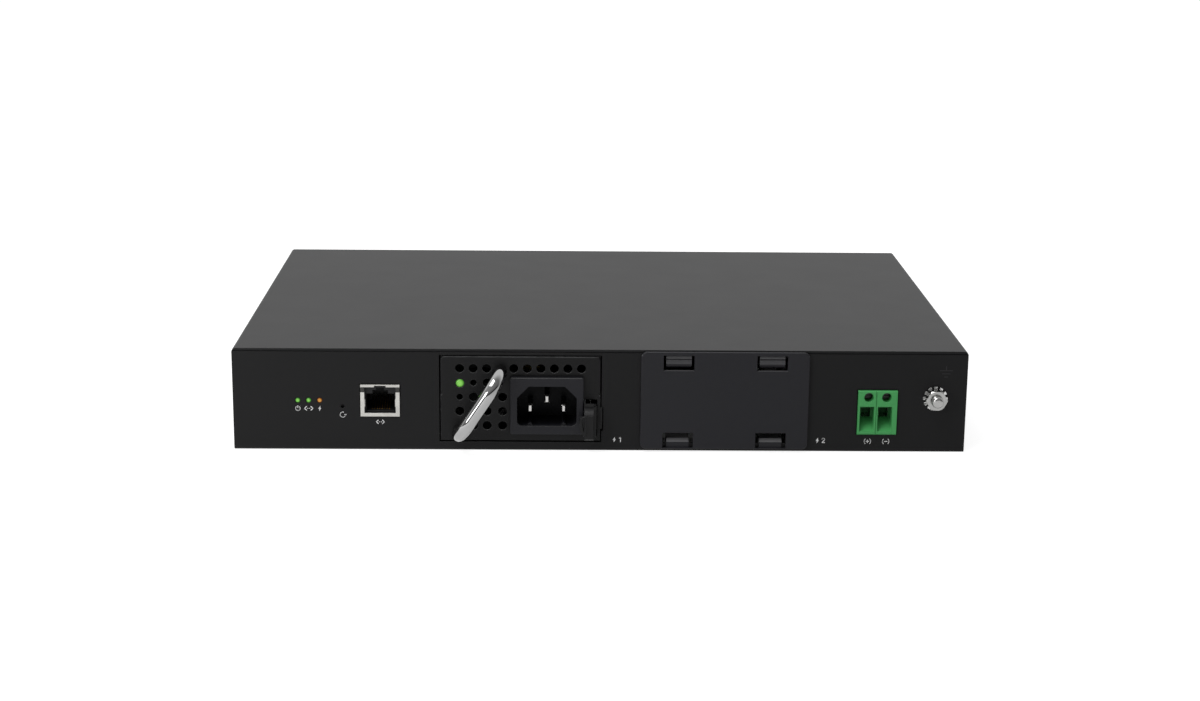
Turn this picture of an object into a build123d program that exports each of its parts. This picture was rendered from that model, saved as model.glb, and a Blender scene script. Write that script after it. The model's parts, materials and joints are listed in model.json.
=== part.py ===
from build123d import *

import math
import os

# A 1U power supply shelf: a sheet-steel chassis that holds one plug-in supply
# module, a blanked spare bay, a network port, an output terminal block and an
# earth stud. Millimetres. The origin is the centre of the chassis's bottom face,
# the front panel faces -Y, +X is to the right of someone who looks at it.

# Chassis
chassis_width = 306.0
chassis_depth = 205.0
chassis_height = 43.7
sheet = 1.0
cover_fit = 0.15
cover_corner_radius = 1.6
cover_foot_gap = 0.5
base_bend_radius = 1.4
base_top_bend_radius = 0.5
return_flange_depth = 10.0
side_flange_height = 34.0
side_flange_end_gap = 2.0

front_y = -chassis_depth / 2
back_y = chassis_depth / 2
panel_back_y = front_y + sheet
left_end = -chassis_width / 2
right_end = chassis_width / 2
base_width = chassis_width - 2 * (sheet + cover_fit)
base_top = chassis_height - sheet - cover_fit
floor_top = sheet

# Plug-in module and its bay. The free width between the port, the two bays and the
# terminals is shared out between the three posts of the front panel.
module_width = 66.6
module_height = 36.4
rear_space = 55.0
module_length = chassis_depth - rear_space
module_bottom = 4.3
module_sheet = 1.0
module_corner_radius = 1.8
bay_clearance = 0.5
bay_opening_width = module_width + 2 * bay_clearance
bay_opening_height = module_height + 2 * bay_clearance
bay_opening_bottom = module_bottom - bay_clearance
left_group_width = 69.25
right_group_width = 45.5
post_space = chassis_width - left_group_width - right_group_width - 2 * bay_opening_width
post_1_share = 0.294
post_2_share = 0.313
bay_1_x = left_end + left_group_width + post_1_share * post_space + bay_opening_width / 2
bay_2_x = bay_1_x + bay_opening_width + post_2_share * post_space
bay_wall_top = 41.0
bay_length = module_length + 3.0
glide_width = 7.0
glide_gap = 0.3
module_top = module_bottom + module_height
module_left = bay_1_x - module_width / 2
module_right = bay_1_x + module_width / 2
module_back_y = front_y + module_length
module_floor_top = module_bottom + module_sheet

# Fasteners
screw_radius = 1.5
screw_head_radius = 2.75
cover_screw_head_radius = 2.4
thread_gap = 0.05
small_screw_radius = 1.25
small_head_radius = 2.3
small_head_height = 1.3
board_thickness = 1.6


def block(x0, x1, y0, y1, z0, z1):
    """A rectangular solid between two opposite corners."""
    centre = ((x0 + x1) / 2, (y0 + y1) / 2, (z0 + z1) / 2)
    return Pos(*centre) * Box(abs(x1 - x0), abs(y1 - y0), abs(z1 - z0))


def front_plane(y):
    """A plane at y that faces -Y, with X and Z as its own axes."""
    return Plane(origin=(0, y, 0), x_dir=(1, 0, 0), z_dir=(0, -1, 0))


def side_plane(x):
    """A plane at x that faces +X, with Y and Z as its own axes."""
    return Plane(origin=(x, 0, 0), x_dir=(0, 1, 0), z_dir=(1, 0, 0))


def from_front(sketch, y_front, y_back):
    """Extrude a sketch drawn in X and Z from y_front to y_back."""
    return extrude(front_plane(y_back) * sketch, amount=y_back - y_front)


def from_side(sketch, x0, x1):
    """Extrude a sketch drawn in Y and Z from x0 to x1."""
    return extrude(side_plane(x0) * sketch, amount=x1 - x0)


def from_top(sketch, z0, z1):
    """Extrude a sketch drawn in X and Y from z0 to z1."""
    return extrude(Plane.XY.offset(z0) * sketch, amount=z1 - z0)


def rod_y(x, z, radius, y0, y1):
    """A round bar along Y."""
    return from_front(Pos(x, z) * Circle(radius), min(y0, y1), max(y0, y1))


def rod_x(y, z, radius, x0, x1):
    """A round bar along X."""
    return from_side(Pos(y, z) * Circle(radius), min(x0, x1), max(x0, x1))


def rod_z(x, y, radius, z0, z1):
    """A round bar along Z."""
    return from_top(Pos(x, y) * Circle(radius), z0, z1)


def polygon(*points):
    """A filled outline through hand-placed points, kept where they are."""
    return make_face(Polyline(*points, close=True))


def write(node, *solids):
    """Save one node as one STEP file."""
    shape = solids[0] if len(solids) == 1 else Compound(children=list(solids))
    export_step(shape, os.path.join("parts", node + ".step"))


def join(pieces):
    """Fuse a list of touching solids into one."""
    whole = pieces[0]
    for piece in pieces[1:]:
        whole = whole + piece
    return whole


def pan_head_screw(radius, head_radius, head_height, length):
    """A pan-head screw along Z, head up, its head's underside at z = 0."""
    head = from_top(Circle(head_radius), 0, head_height)
    head = fillet(head.edges().group_by(Axis.Z)[-1], head_height * 0.6)
    return head + from_top(Circle(radius), -length, 0)


# Front panel fittings, as places on the panel
led_x = (left_end + 26.9, left_end + 31.4, left_end + 36.0)
led_z = 21.4
led_radius = 1.05
led_hole_gap = 0.12
reset_x = left_end + 45.5
reset_z = 18.9
reset_hole_radius = 0.85
port_x = left_end + 61.1
port_width = 16.3
port_height = 13.7
port_panel_gap = 0.25
port_proud = 0.5
port_depth = 21.0

plug_left_x = right_end - 45.5
plug_pitch = 7.5
plug_poles = 2
plug_end_wall = 1.5
plug_bottom = 7.8
plug_height = 19.1
plug_proud = 1.0
plug_panel_gap = 0.3
plug_width = plug_poles * plug_pitch + plug_end_wall
plug_right_x = plug_left_x + plug_width
plug_top = plug_bottom + plug_height

stud_x = right_end - 13.2
stud_z = 23.7
stud_radius = 2.5
stud_core_radius = 2.05

# Boards
control_board_top = 14.7
power_board_top = 6.6
board_edge_gap = 4.0
power_board_overlap = 6.2
power_wing_width = 54.0
control_board_width = 75.0
control_board_depth = 75.0

# Rack-ear holes in both sides
ear_nut_thread_radius = 1.65
ear_hole_radius = 2.25
ear_spacing_y = 22.0
ear_spacing_z = 20.0
ear_first_y = 16.0
ear_first_z = 11.0
ear_nut_radius = 3.7
ear_nut_height = 2.0

# Cover screws, as distances from the front and a height
cover_screw_y = tuple(share * chassis_depth for share in (0.283, 0.585, 0.902))
cover_screw_z = 12.0

# Vents
side_vent_count = 12
side_vent_width = 3.0
side_vent_height = 16.0
side_vent_first = 0.42 * chassis_depth
side_vent_pitch = 0.3756 * chassis_depth / (side_vent_count - 1)
side_vent_z = 27.0
rear_vent_count = 9
rear_vent_pitch = 6.6
rear_vent_width = 3.2
rear_vent_height = 22.0
rear_vent_z = 25.0


def ear_places():
    """Y and Z of the four rack-ear holes on one side."""
    places = []
    for column in range(2):
        for row in range(2):
            places.append((front_y + ear_first_y + column * ear_spacing_y,
                           ear_first_z + row * ear_spacing_z))
    return places


def bay_opening(bay_x):
    """The sketch of a bay's mouth in the front panel."""
    centre_z = bay_opening_bottom + bay_opening_height / 2
    return Pos(bay_x, centre_z) * Rectangle(bay_opening_width, bay_opening_height)


# The latch, first its places because the chassis makes room for its tooth
latch_arm_right = module_right - 1.7
latch_arm_thickness = 2.0
latch_tooth_reach = 0.9
latch_tooth_gap = 0.3
latch_tooth_bottom = 9.0
latch_tooth_top = 18.6
latch_tooth_front_y = panel_back_y + 0.7
latch_tooth_length = 4.5
latch_tooth_tip_x = module_right + latch_tooth_reach
latch_tooth_back_y = latch_tooth_front_y + latch_tooth_length


def latch_relief(y0, y1):
    """Room for the latch's tooth in the panel's edge and the bay's wall."""
    return block(module_right, latch_tooth_tip_x + latch_tooth_gap, y0, y1,
                 latch_tooth_bottom - latch_tooth_gap, latch_tooth_top + latch_tooth_gap)


def chassis_base():
    """Floor, front and rear panels and side flanges, folded from one sheet."""
    outer = Pos(0, base_top / 2) * Rectangle(chassis_depth, base_top)
    outer = fillet(outer.vertices().group_by(Axis.Y)[-1], base_top_bend_radius)
    outer = fillet(outer.vertices().group_by(Axis.Y)[0], base_bend_radius)
    inner = Pos(0, base_top / 2) * Rectangle(chassis_depth - 2 * sheet, base_top - 2 * sheet)
    mouth = Pos(0, base_top) * Rectangle(chassis_depth - 2 * return_flange_depth, 3 * sheet)
    base = from_side(outer - inner - mouth, -base_width / 2, base_width / 2)
    flange_front = panel_back_y + side_flange_end_gap
    flange_back = back_y - sheet - side_flange_end_gap
    for side in (-1, 1):
        outside = side * base_width / 2
        base += block(outside, outside - side * sheet, flange_front, flange_back,
                      0, side_flange_height)
    bends = base.edges().filter_by(Axis.Y).group_by(Axis.Z)[0]
    long_bends = [edge for edge in bends if edge.length > chassis_depth * 0.8]
    base = fillet(long_bends, sheet * 0.9)
    strip = outer & (Pos(front_y + sheet / 2, base_top / 2) * Rectangle(sheet, base_top))
    base += from_side(strip, left_end, right_end) & from_front(chassis_profile(), front_y, back_y)
    base -= from_front(front_openings(), front_y - sheet, panel_back_y + sheet)
    base -= latch_relief(front_y - sheet, panel_back_y + sheet)
    base -= from_front(rear_vents(), back_y - 2 * sheet, back_y + sheet)
    for side in (-1, 1):
        outside = side * (base_width / 2 + sheet)
        inside = side * (base_width / 2 - 2 * sheet)
        for y, z in ear_places():
            base -= rod_x(y, z, ear_nut_radius - 0.6 + thread_gap, outside, inside)
        for distance in cover_screw_y:
            base -= rod_x(front_y + distance, cover_screw_z, screw_radius + thread_gap,
                          outside, inside)
    return base - side_vent_windows()


def chassis_profile():
    """The chassis's outer outline, seen from the front."""
    outline = Pos(0, chassis_height / 2) * Rectangle(chassis_width, chassis_height)
    return fillet(outline.vertices().group_by(Axis.Y)[-1], cover_corner_radius)


def side_vent_windows():
    """The wide windows in the side flanges behind the cover's slots."""
    margin = 3.0
    posts = 2
    slots_per_window = side_vent_count // (posts + 1)
    windows = Sketch()
    for index in range(posts + 1):
        first = side_vent_first + index * slots_per_window * side_vent_pitch
        last = first + (slots_per_window - 1) * side_vent_pitch
        length = last - first + side_vent_width + 0.5 * margin
        middle = front_y + (first + last) / 2
        low = side_vent_z - side_vent_height / 2 - margin / 2
        windows += Pos(middle, (low + side_flange_height) / 2 + margin) * Rectangle(
            length, side_flange_height - low + 2 * margin)
    return from_side(windows, -chassis_width, chassis_width)


def front_openings():
    """Every opening in the front panel, drawn in X and Z."""
    port_z = control_board_top + port_height / 2
    plug_x = (plug_left_x + plug_right_x) / 2
    holes = bay_opening(bay_1_x) + bay_opening(bay_2_x)
    for x in led_x:
        holes += Pos(x, led_z) * Circle(led_radius + led_hole_gap)
    holes += Pos(reset_x, reset_z) * Circle(reset_hole_radius)
    holes += Pos(port_x, port_z) * Rectangle(port_width + 2 * port_panel_gap,
                                             port_height + 2 * port_panel_gap)
    holes += Pos(plug_x, plug_bottom + plug_height / 2) * Rectangle(
        plug_width + 2 * plug_panel_gap, plug_height + 2 * plug_panel_gap)
    holes += Pos(stud_x, stud_z) * Circle(stud_core_radius + thread_gap)
    return holes


def rear_vents():
    """Two banks of upright slots, one behind each bay."""
    slots = Sketch()
    span = (rear_vent_count - 1) * rear_vent_pitch
    for bay_x in (bay_1_x, bay_2_x):
        for index in range(rear_vent_count):
            x = bay_x - span / 2 + index * rear_vent_pitch
            slots += Pos(x, rear_vent_z) * Rot(0, 0, 90) * SlotOverall(rear_vent_height,
                                                                       rear_vent_width)
    return slots


def top_cover():
    """The folded top and sides, one sheet, its sides stopping behind the front panel."""
    height = chassis_height - cover_foot_gap
    middle = cover_foot_gap + height / 2
    outer = Pos(0, middle) * Rectangle(chassis_width, height)
    outer = fillet(outer.vertices().group_by(Axis.Y)[-1], cover_corner_radius)
    inner_width = chassis_width - 2 * sheet
    inner = Pos(0, middle - sheet) * Rectangle(inner_width, height)
    inner = fillet(inner.vertices().group_by(Axis.Y)[-1], cover_corner_radius - sheet)
    cover = from_front(outer - inner, front_y, back_y)
    front_edge = cover.edges().filter_by(Axis.X).group_by(Axis.Y)[0].sort_by(Axis.Z)[-1]
    cover = fillet(front_edge, sheet * 0.35)
    cover -= block(left_end - sheet, right_end + sheet, front_y - sheet,
                   panel_back_y + cover_fit, -sheet, chassis_height - sheet)
    slots = Sketch()
    for index in range(side_vent_count):
        y = front_y + side_vent_first + index * side_vent_pitch
        slots += Pos(y, side_vent_z) * Rot(0, 0, 90) * SlotOverall(side_vent_height,
                                                                   side_vent_width)
    cover -= from_side(slots, -chassis_width, chassis_width)
    for side in (-1, 1):
        outside = side * (chassis_width / 2 + sheet)
        inside = side * (chassis_width / 2 - 2 * sheet)
        for y, z in ear_places():
            cover -= rod_x(y, z, ear_hole_radius, outside, inside)
        for distance in cover_screw_y:
            cover -= cover_screw(front_y + distance, side, thread_gap)
    return cover


def cover_screw(y, side, grow=0.0):
    """A countersunk screw through one side of the cover, or the room for it."""
    face_x = chassis_width / 2
    radius = screw_radius + grow
    head = cover_screw_head_radius + grow
    cone = head - radius
    length = 6.0
    outline = polygon((0, 0), (head, 0), (radius, -cone), (radius, -length), (0, -length))
    screw = revolve(Plane.XZ * outline, axis=Axis.Z)
    return Pos(side * face_x, y, cover_screw_z) * Rot(0, side * 90, 0) * screw


def cover_screws():
    """Three countersunk screws in each side, with a cross recess."""
    screws = []
    for side in (-1, 1):
        for distance in cover_screw_y:
            y = front_y + distance
            slot_depth = 0.9
            screw = cover_screw(y, side)
            outside = side * (chassis_width / 2 + sheet)
            inside = side * (chassis_width / 2 - slot_depth)
            long_half = 1.5
            wide_half = 0.35
            screw -= block(outside, inside, y - long_half, y + long_half,
                           cover_screw_z - wide_half, cover_screw_z + wide_half)
            screw -= block(outside, inside, y - wide_half, y + wide_half,
                           cover_screw_z - long_half, cover_screw_z + long_half)
            screws.append(screw)
    return screws


def ear_nuts():
    """Clinch nuts in the side flanges that take the rack ears' screws."""
    nuts = []
    barrel = ear_nut_radius - 0.6
    for side in (-1, 1):
        sheet_outside = side * base_width / 2
        sheet_inside = side * (base_width / 2 - sheet)
        head_inside = side * (base_width / 2 - sheet - ear_nut_height)
        for y, z in ear_places():
            nut = rod_x(y, z, barrel, sheet_outside, sheet_inside)
            nut += rod_x(y, z, ear_nut_radius, sheet_inside, head_inside)
            nut -= rod_x(y, z, ear_nut_thread_radius, sheet_outside + side, head_inside - side)
            nuts.append(nut)
    return nuts


def bay_channel(bay_x, with_latch_relief):
    """An open-topped folded channel that guides what goes into a bay."""
    half = bay_opening_width / 2
    height = bay_wall_top - floor_top
    outer = Pos(bay_x, floor_top + height / 2) * Rectangle(2 * (half + sheet), height)
    outer = fillet(outer.vertices().group_by(Axis.Y)[0], sheet * 0.9)
    inner = Pos(bay_x, floor_top + sheet + height / 2) * Rectangle(2 * half, height)
    start_y = panel_back_y
    end_y = front_y + bay_length
    channel = from_front(outer - inner, start_y, end_y)
    window_width = bay_opening_width * 0.55
    window_length = bay_length * 0.3
    for share in (0.3, 0.7):
        y = start_y + share * (end_y - start_y)
        window = Pos(bay_x, y) * RectangleRounded(window_width, window_length, 4.0)
        channel -= from_top(window, floor_top - sheet, floor_top + 2 * sheet)
    if with_latch_relief:
        channel -= latch_relief(panel_back_y - sheet, latch_tooth_back_y + latch_tooth_gap)
    return channel


def bay_glides():
    """Plastic strips under the module's and the spare bay's long edges."""
    strips = []
    bottom = floor_top + sheet
    top = module_bottom - glide_gap
    for bay_x in (bay_1_x, bay_2_x):
        for side in (-1, 1):
            edge = bay_x + side * bay_opening_width / 2
            strip = block(edge, edge - side * glide_width, panel_back_y + 2.0,
                          front_y + bay_length - 2.0, bottom, top)
            lead = strip.edges().filter_by(Axis.X).group_by(Axis.Z)[-1].sort_by(Axis.Y)[0]
            strips.append(chamfer(lead, (top - bottom) * 0.7))
    return strips


# Boards in the chassis
control_board_left = -base_width / 2 + sheet + board_edge_gap
control_board_right = control_board_left + control_board_width
control_board_front = panel_back_y + board_edge_gap
control_board_back = control_board_front + control_board_depth
power_board_left = -base_width / 2 + sheet + board_edge_gap
power_board_right = base_width / 2 - sheet - board_edge_gap
power_board_back = back_y - sheet - board_edge_gap
socket_front_y = module_back_y + 1.2
socket_depth = 13.0
power_board_front = socket_front_y + socket_depth - power_board_overlap
power_wing_left = power_board_right - power_wing_width
standoff_radius = 2.9
standoff_inset = 5.0
board_hole_radius = small_screw_radius + 0.25


def control_board_corners():
    """The control board's four screw places."""
    return [(x, y) for x in (control_board_left + standoff_inset,
                             control_board_right - standoff_inset)
            for y in (control_board_front + 22.0, control_board_back - standoff_inset)]


def power_board_corners():
    """The power board's five screw places, round its L."""
    return [(power_board_left + standoff_inset, power_board_back - standoff_inset),
            (0.0, power_board_back - standoff_inset),
            (power_board_right - standoff_inset, power_board_back - standoff_inset),
            (power_board_left + standoff_inset, power_board_front + standoff_inset),
            (power_board_right - standoff_inset, control_board_front + 26.0)]


def control_board():
    """The small board that carries the port, the lamps and the reset switch."""
    middle = ((control_board_left + control_board_right) / 2,
              (control_board_front + control_board_back) / 2)
    outline = Pos(*middle) * RectangleRounded(control_board_width, control_board_depth, 2.0)
    for x, y in control_board_corners():
        outline -= Pos(x, y) * Circle(board_hole_radius)
    return from_top(outline, control_board_top - board_thickness, control_board_top)


def power_board():
    """The L-shaped board behind the bays and beside the output terminals."""
    outline = polygon((power_board_left, power_board_back),
                      (power_board_left, power_board_front),
                      (power_wing_left, power_board_front),
                      (power_wing_left, control_board_front),
                      (power_board_right, control_board_front),
                      (power_board_right, power_board_back))
    for x, y in power_board_corners():
        outline -= Pos(x, y) * Circle(board_hole_radius)
    return from_top(outline, power_board_top - board_thickness, power_board_top)


def standoff(x, y, z0, z1):
    """A hexagonal standoff with a blind screw hole in its top."""
    depth = min(5.0, (z1 - z0) * 0.9)
    body = from_top(Pos(x, y) * RegularPolygon(standoff_radius, 6), z0, z1)
    return body - rod_z(x, y, small_screw_radius + thread_gap, z1 - depth, z1 + 1.0)


def chassis_standoffs():
    """The standoffs pressed into the chassis floor."""
    pieces = []
    for x, y in control_board_corners():
        pieces.append(standoff(x, y, floor_top, control_board_top - board_thickness))
    for x, y in power_board_corners():
        pieces.append(standoff(x, y, floor_top, power_board_top - board_thickness))
    return pieces


def board_screw(x, y, top):
    """A pan-head screw that holds a board whose top is at the given height."""
    length = board_thickness + 2.5
    screw = pan_head_screw(small_screw_radius, small_head_radius, small_head_height, length)
    return Pos(x, y, top) * screw


def chassis_board_screws():
    """The screws of both boards."""
    screws = [board_screw(x, y, control_board_top) for x, y in control_board_corners()]
    screws += [board_screw(x, y, power_board_top) for x, y in power_board_corners()]
    return screws


# Module connector: the module board's own edge plugs into a socket on the power board
tongue_width = 40.0
tongue_reach = 9.0
tongue_gap = 0.35
module_board_bottom = module_floor_top + 4.0
module_board_top = module_board_bottom + board_thickness
socket_width = tongue_width + 8.0
socket_height = 11.0


def module_socket(bay_x):
    """A card-edge socket on the power board, its slot open to the front."""
    front = socket_front_y
    back = front + socket_depth
    body = block(bay_x - socket_width / 2, bay_x + socket_width / 2, front, back,
                 power_board_top, power_board_top + socket_height)
    body = fillet(body.edges().filter_by(Axis.Z), 1.0)
    slot_half = tongue_width / 2 + tongue_gap
    slot_end = module_back_y + tongue_reach + 1.0
    body -= block(bay_x - slot_half, bay_x + slot_half, front - 1.0, slot_end,
                  module_board_bottom - tongue_gap, module_board_top + tongue_gap)
    lead = 0.8
    mouth = polygon((front - 0.01, module_board_bottom - tongue_gap - lead),
                    (front + lead, module_board_bottom - tongue_gap),
                    (front + lead, module_board_top + tongue_gap),
                    (front - 0.01, module_board_top + tongue_gap + lead))
    return body - from_side(mouth, bay_x - slot_half, bay_x + slot_half)


def output_capacitors():
    """Three standing capacitors on the power board, with a crimp groove."""
    radius = 5.0
    height = 20.0
    groove = 0.5
    pieces = []
    for index in range(3):
        x = power_wing_left + 12.0 + index * 2.6 * radius
        y = power_board_front - 20.0
        outline = polygon((0, 0), (radius, 0), (radius, 2.0), (radius - groove, 2.6),
                          (radius, 3.2), (radius, height - 0.6), (radius - 0.6, height),
                          (0, height))
        can = revolve(Plane.XZ * outline, axis=Axis.Z)
        pieces.append(Pos(x, y, power_board_top) * can)
    return pieces


# Network port
port_wall = 0.35
port_opening_width = 13.0
port_opening_bottom = 1.5
port_opening_top = 12.6
port_notch_width = 4.8
port_notch_top = 13.25
port_bottom = control_board_top
port_front_y = front_y - port_proud
port_back_y = port_front_y + port_depth


def port_opening():
    """The port's mouth with its latch notch, in X and Z."""
    height = port_opening_top - port_opening_bottom
    mouth = Pos(port_x, port_bottom + port_opening_bottom + height / 2) * Rectangle(
        port_opening_width, height)
    notch_height = port_notch_top - port_opening_bottom
    notch = Pos(port_x, port_bottom + port_opening_bottom + notch_height / 2) * Rectangle(
        port_notch_width, notch_height)
    return mouth + notch


def port_shield():
    """The port's folded metal can, open below and at its mouth, with side springs."""
    half = port_width / 2
    can = block(port_x - half, port_x + half, port_front_y, port_back_y,
                port_bottom, port_bottom + port_height)
    can -= block(port_x - half + port_wall, port_x + half - port_wall,
                 port_front_y + port_wall, port_back_y - port_wall,
                 port_bottom + port_wall, port_bottom + port_height - port_wall)
    can -= from_front(port_opening(), port_front_y - 1.0, port_front_y + port_wall)
    spring_z = port_bottom + port_height * 0.42
    spring_radius = 0.9
    spring_length = 3.2
    for side in (-1, 1):
        x = port_x + side * (port_opening_width / 2 + 0.15)
        spring = rod_z(x, port_front_y + port_wall + spring_radius * 0.4, spring_radius * 0.6,
                       spring_z - spring_length / 2, spring_z + spring_length / 2)
        can += spring
    return can


def port_insert():
    """The plastic body inside the can, with the plug cavity."""
    gap = 0.05
    half = port_width / 2 - port_wall - gap
    front = port_front_y + port_wall + 1.6
    back = port_back_y - port_wall - gap
    bottom = port_bottom + port_wall + gap
    top = port_bottom + port_height - port_wall - gap
    body = block(port_x - half, port_x + half, front, back, bottom, top)
    cavity_half = 5.95
    cavity_bottom = port_bottom + port_opening_bottom + 0.6
    cavity_top = port_bottom + 9.4
    body -= block(port_x - cavity_half, port_x + cavity_half, front - 1.0, back - 4.0,
                  cavity_bottom, cavity_top)
    for half_width, level in ((3.2, 10.9), (1.7, 12.0)):
        body -= block(port_x - half_width, port_x + half_width, front - 1.0, back - 6.0,
                      cavity_top - 0.5, port_bottom + level)
    return body


def port_contacts():
    """Eight spring contacts that slope across the plug cavity."""
    pitch = 1.02
    count = 8
    wire = 0.45
    front = port_front_y + port_wall + 1.6
    low = port_bottom + port_opening_bottom + 0.6
    contacts = []
    for index in range(count):
        x = port_x + (index - (count - 1) / 2) * pitch
        path = polygon((front + 2.2, low), (front + 2.2 + wire, low),
                       (front + 11.5, low + 3.2), (front + 11.5, low + 3.2 + wire),
                       (front + 11.2, low + 3.2 + wire))
        contacts.append(from_side(path, x - wire / 2, x + wire / 2))
    return contacts


# Status lamps
led_holder_depth = 6.0
led_flange_depth = 1.0


def led_holder():
    """The black block that holds the three lamps at the panel."""
    left = led_x[0] - 3.0
    right = led_x[-1] + 3.0
    front = panel_back_y + 0.4
    back = front + led_holder_depth
    body = block(left, right, front, back, control_board_top, led_z + 3.0)
    foot = block(left, right, back - 0.01, control_board_front + 6.0,
                 control_board_top, control_board_top + 2.0)
    body += foot
    body = chamfer(body.edges().filter_by(Axis.X).group_by(Axis.Z)[-1].sort_by(Axis.Y)[-1], 1.5)
    for x in led_x:
        body -= rod_y(x, led_z, led_radius + thread_gap, front - 1.0, back - 1.5)
    return body


def status_led(x):
    """One lamp: a clear rod with a rounded nose at the panel's face."""
    back = panel_back_y + 0.4 + led_holder_depth - 1.5
    lamp = rod_y(x, led_z, led_radius, front_y, back)
    return fillet(lamp.edges().group_by(Axis.Y)[0], led_radius * 0.5)


# Reset switch
reset_travel = 0.5
reset_plunger_radius = 1.6
reset_body_front = panel_back_y + 2.6
reset_guide_gap = 0.08


def reset_switch_body():
    """A side-acting tact switch's body, standing on the control board."""
    half = 3.0
    back = reset_body_front + 4.0
    body = block(reset_x - half, reset_x + half, reset_body_front, back,
                 control_board_top, reset_z + half)
    body = chamfer(body.edges().filter_by(Axis.Y), 0.5)
    collar = rod_y(reset_x, reset_z, reset_plunger_radius + reset_guide_gap,
                   reset_body_front - 1.0, back - 1.2)
    foot = block(reset_x - half, reset_x + half, back - 0.01, back + 1.6,
                 control_board_top, control_board_top + 1.2)
    return body - collar + foot


def reset_plunger():
    """The switch's plunger, which a pin through the panel's hole presses."""
    tip = panel_back_y + 0.6
    end = reset_body_front + 4.0 - 1.2 - reset_travel - 0.3
    plunger = rod_y(reset_x, reset_z, reset_plunger_radius, tip, end)
    return fillet(plunger.edges().sort_by(Axis.Y)[0], 0.4)


# Output terminals
plug_front_y = front_y - plug_proud
plug_body_depth = 12.5
plug_nose_depth = 11.0
plug_window_width = 6.0
plug_window_inset = 0.9
plug_window_bottom = plug_bottom + 1.5
plug_window_top = plug_bottom + 12.3
plug_window_depth = 6.5
plug_wire_size = 3.8
plug_screw_z = plug_bottom + 16.2
plug_screw_offset = 0.6
plug_screw_hole_radius = 2.0
plug_screw_recess = 4.6
plug_nose_gap = 0.3
terminal_box_gap = 0.1


def pole_centre(pole):
    """X of the middle of one pole's wire window."""
    return plug_left_x + plug_window_inset + plug_window_width / 2 + pole * plug_pitch


def terminal_box_block(pole, grow=0.0):
    """The outer form of the metal clamp in one pole, or the room for it."""
    x = pole_centre(pole) + plug_screw_offset / 2
    half = 2.9 + grow
    front = plug_front_y + plug_window_depth + 0.6
    return block(x - half, x + half, front - grow, front + 4.2 + grow,
                 plug_window_bottom + 3.6 - grow, plug_screw_z + 2.6 + grow)


def terminal_plug():
    """The green two-pole plug, which pulls out of its header to the front."""
    back = plug_front_y + plug_body_depth
    body = block(plug_left_x, plug_right_x, plug_front_y, back, plug_bottom, plug_top)
    body = chamfer(body.edges().filter_by(Axis.X).group_by(Axis.Y)[0], 0.4)
    nose_bottom = plug_bottom + 2.0
    nose_top = plug_bottom + 12.5
    inset = 1.4
    body += block(plug_left_x + inset, plug_right_x - inset, back - 0.5,
                  back + plug_nose_depth, nose_bottom, nose_top)
    for pole in range(plug_poles):
        x = pole_centre(pole)
        half = plug_window_width / 2
        low = plug_window_bottom
        slope = polygon((plug_front_y - 1.0, low - 0.45),
                        (plug_front_y + 0.8, low + 0.2),
                        (plug_front_y + plug_window_depth, low + 4.6),
                        (plug_front_y + plug_window_depth, plug_window_top - 0.8),
                        (plug_front_y - 1.0, plug_window_top))
        body -= from_side(slope, x - half, x + half)
        wire_z = wire_centre_z()
        wire_half = plug_wire_size / 2
        wire_x = x + plug_screw_offset / 2
        body -= block(wire_x - wire_half, wire_x + wire_half, plug_front_y + 1.0,
                      plug_front_y + plug_body_depth - 0.5,
                      wire_z - wire_half, wire_z + wire_half)
        body -= rod_y(x + plug_screw_offset, plug_screw_z, plug_screw_hole_radius,
                      plug_front_y - 1.0, plug_front_y + plug_window_depth + 4.0)
        body -= terminal_box_block(pole, terminal_box_gap)
        pin_x = x + plug_screw_offset / 2
        body -= block(pin_x - 1.0, pin_x + 1.0, back + 1.0, back + plug_nose_depth + 1.0,
                      header_pin_z() - 1.0, header_pin_z() + 1.0)
    groove = 0.35
    seam = plug_left_x + plug_pitch + plug_window_inset * 0.25
    body -= block(seam - groove / 2, seam + groove / 2, plug_front_y - 1.0,
                  plug_front_y + 0.3, plug_bottom - 1.0, plug_top + 1.0)
    return body


def wire_centre_z():
    """Height of the wire hole's axis."""
    return plug_window_bottom + 6.6


def header_pin_z():
    """Height of the header's pins."""
    return plug_bottom + 7.2


def terminal_boxes():
    """The metal clamps inside the plug, each with a wire hole and a tapped hole."""
    boxes = []
    wire_half = plug_wire_size / 2
    for pole in range(plug_poles):
        box = terminal_box_block(pole)
        wire_x = pole_centre(pole) + plug_screw_offset / 2
        wire_z = wire_centre_z()
        box -= block(wire_x - wire_half, wire_x + wire_half, plug_front_y,
                     plug_front_y + plug_body_depth, wire_z - wire_half, wire_z + wire_half)
        box -= rod_y(pole_centre(pole) + plug_screw_offset, plug_screw_z,
                     small_screw_radius + thread_gap, plug_front_y,
                     plug_front_y + plug_body_depth)
        boxes.append(box)
    return boxes


def terminal_screws():
    """The slotted clamp screws at the bottom of the plug's round holes."""
    screws = []
    head_radius = plug_screw_hole_radius - 0.2
    head_front = plug_front_y + plug_screw_recess
    head_height = 1.9
    shank_end = plug_front_y + plug_window_depth + 3.6
    for pole in range(plug_poles):
        x = pole_centre(pole) + plug_screw_offset
        screw = rod_y(x, plug_screw_z, head_radius, head_front, head_front + head_height)
        screw += rod_y(x, plug_screw_z, small_screw_radius, head_front + 1.0, shank_end)
        screw -= block(x - head_radius, x + head_radius, head_front - 1.0, head_front + 0.8,
                       plug_screw_z - 0.35, plug_screw_z + 0.35)
        screws.append(screw)
    return screws


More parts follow.
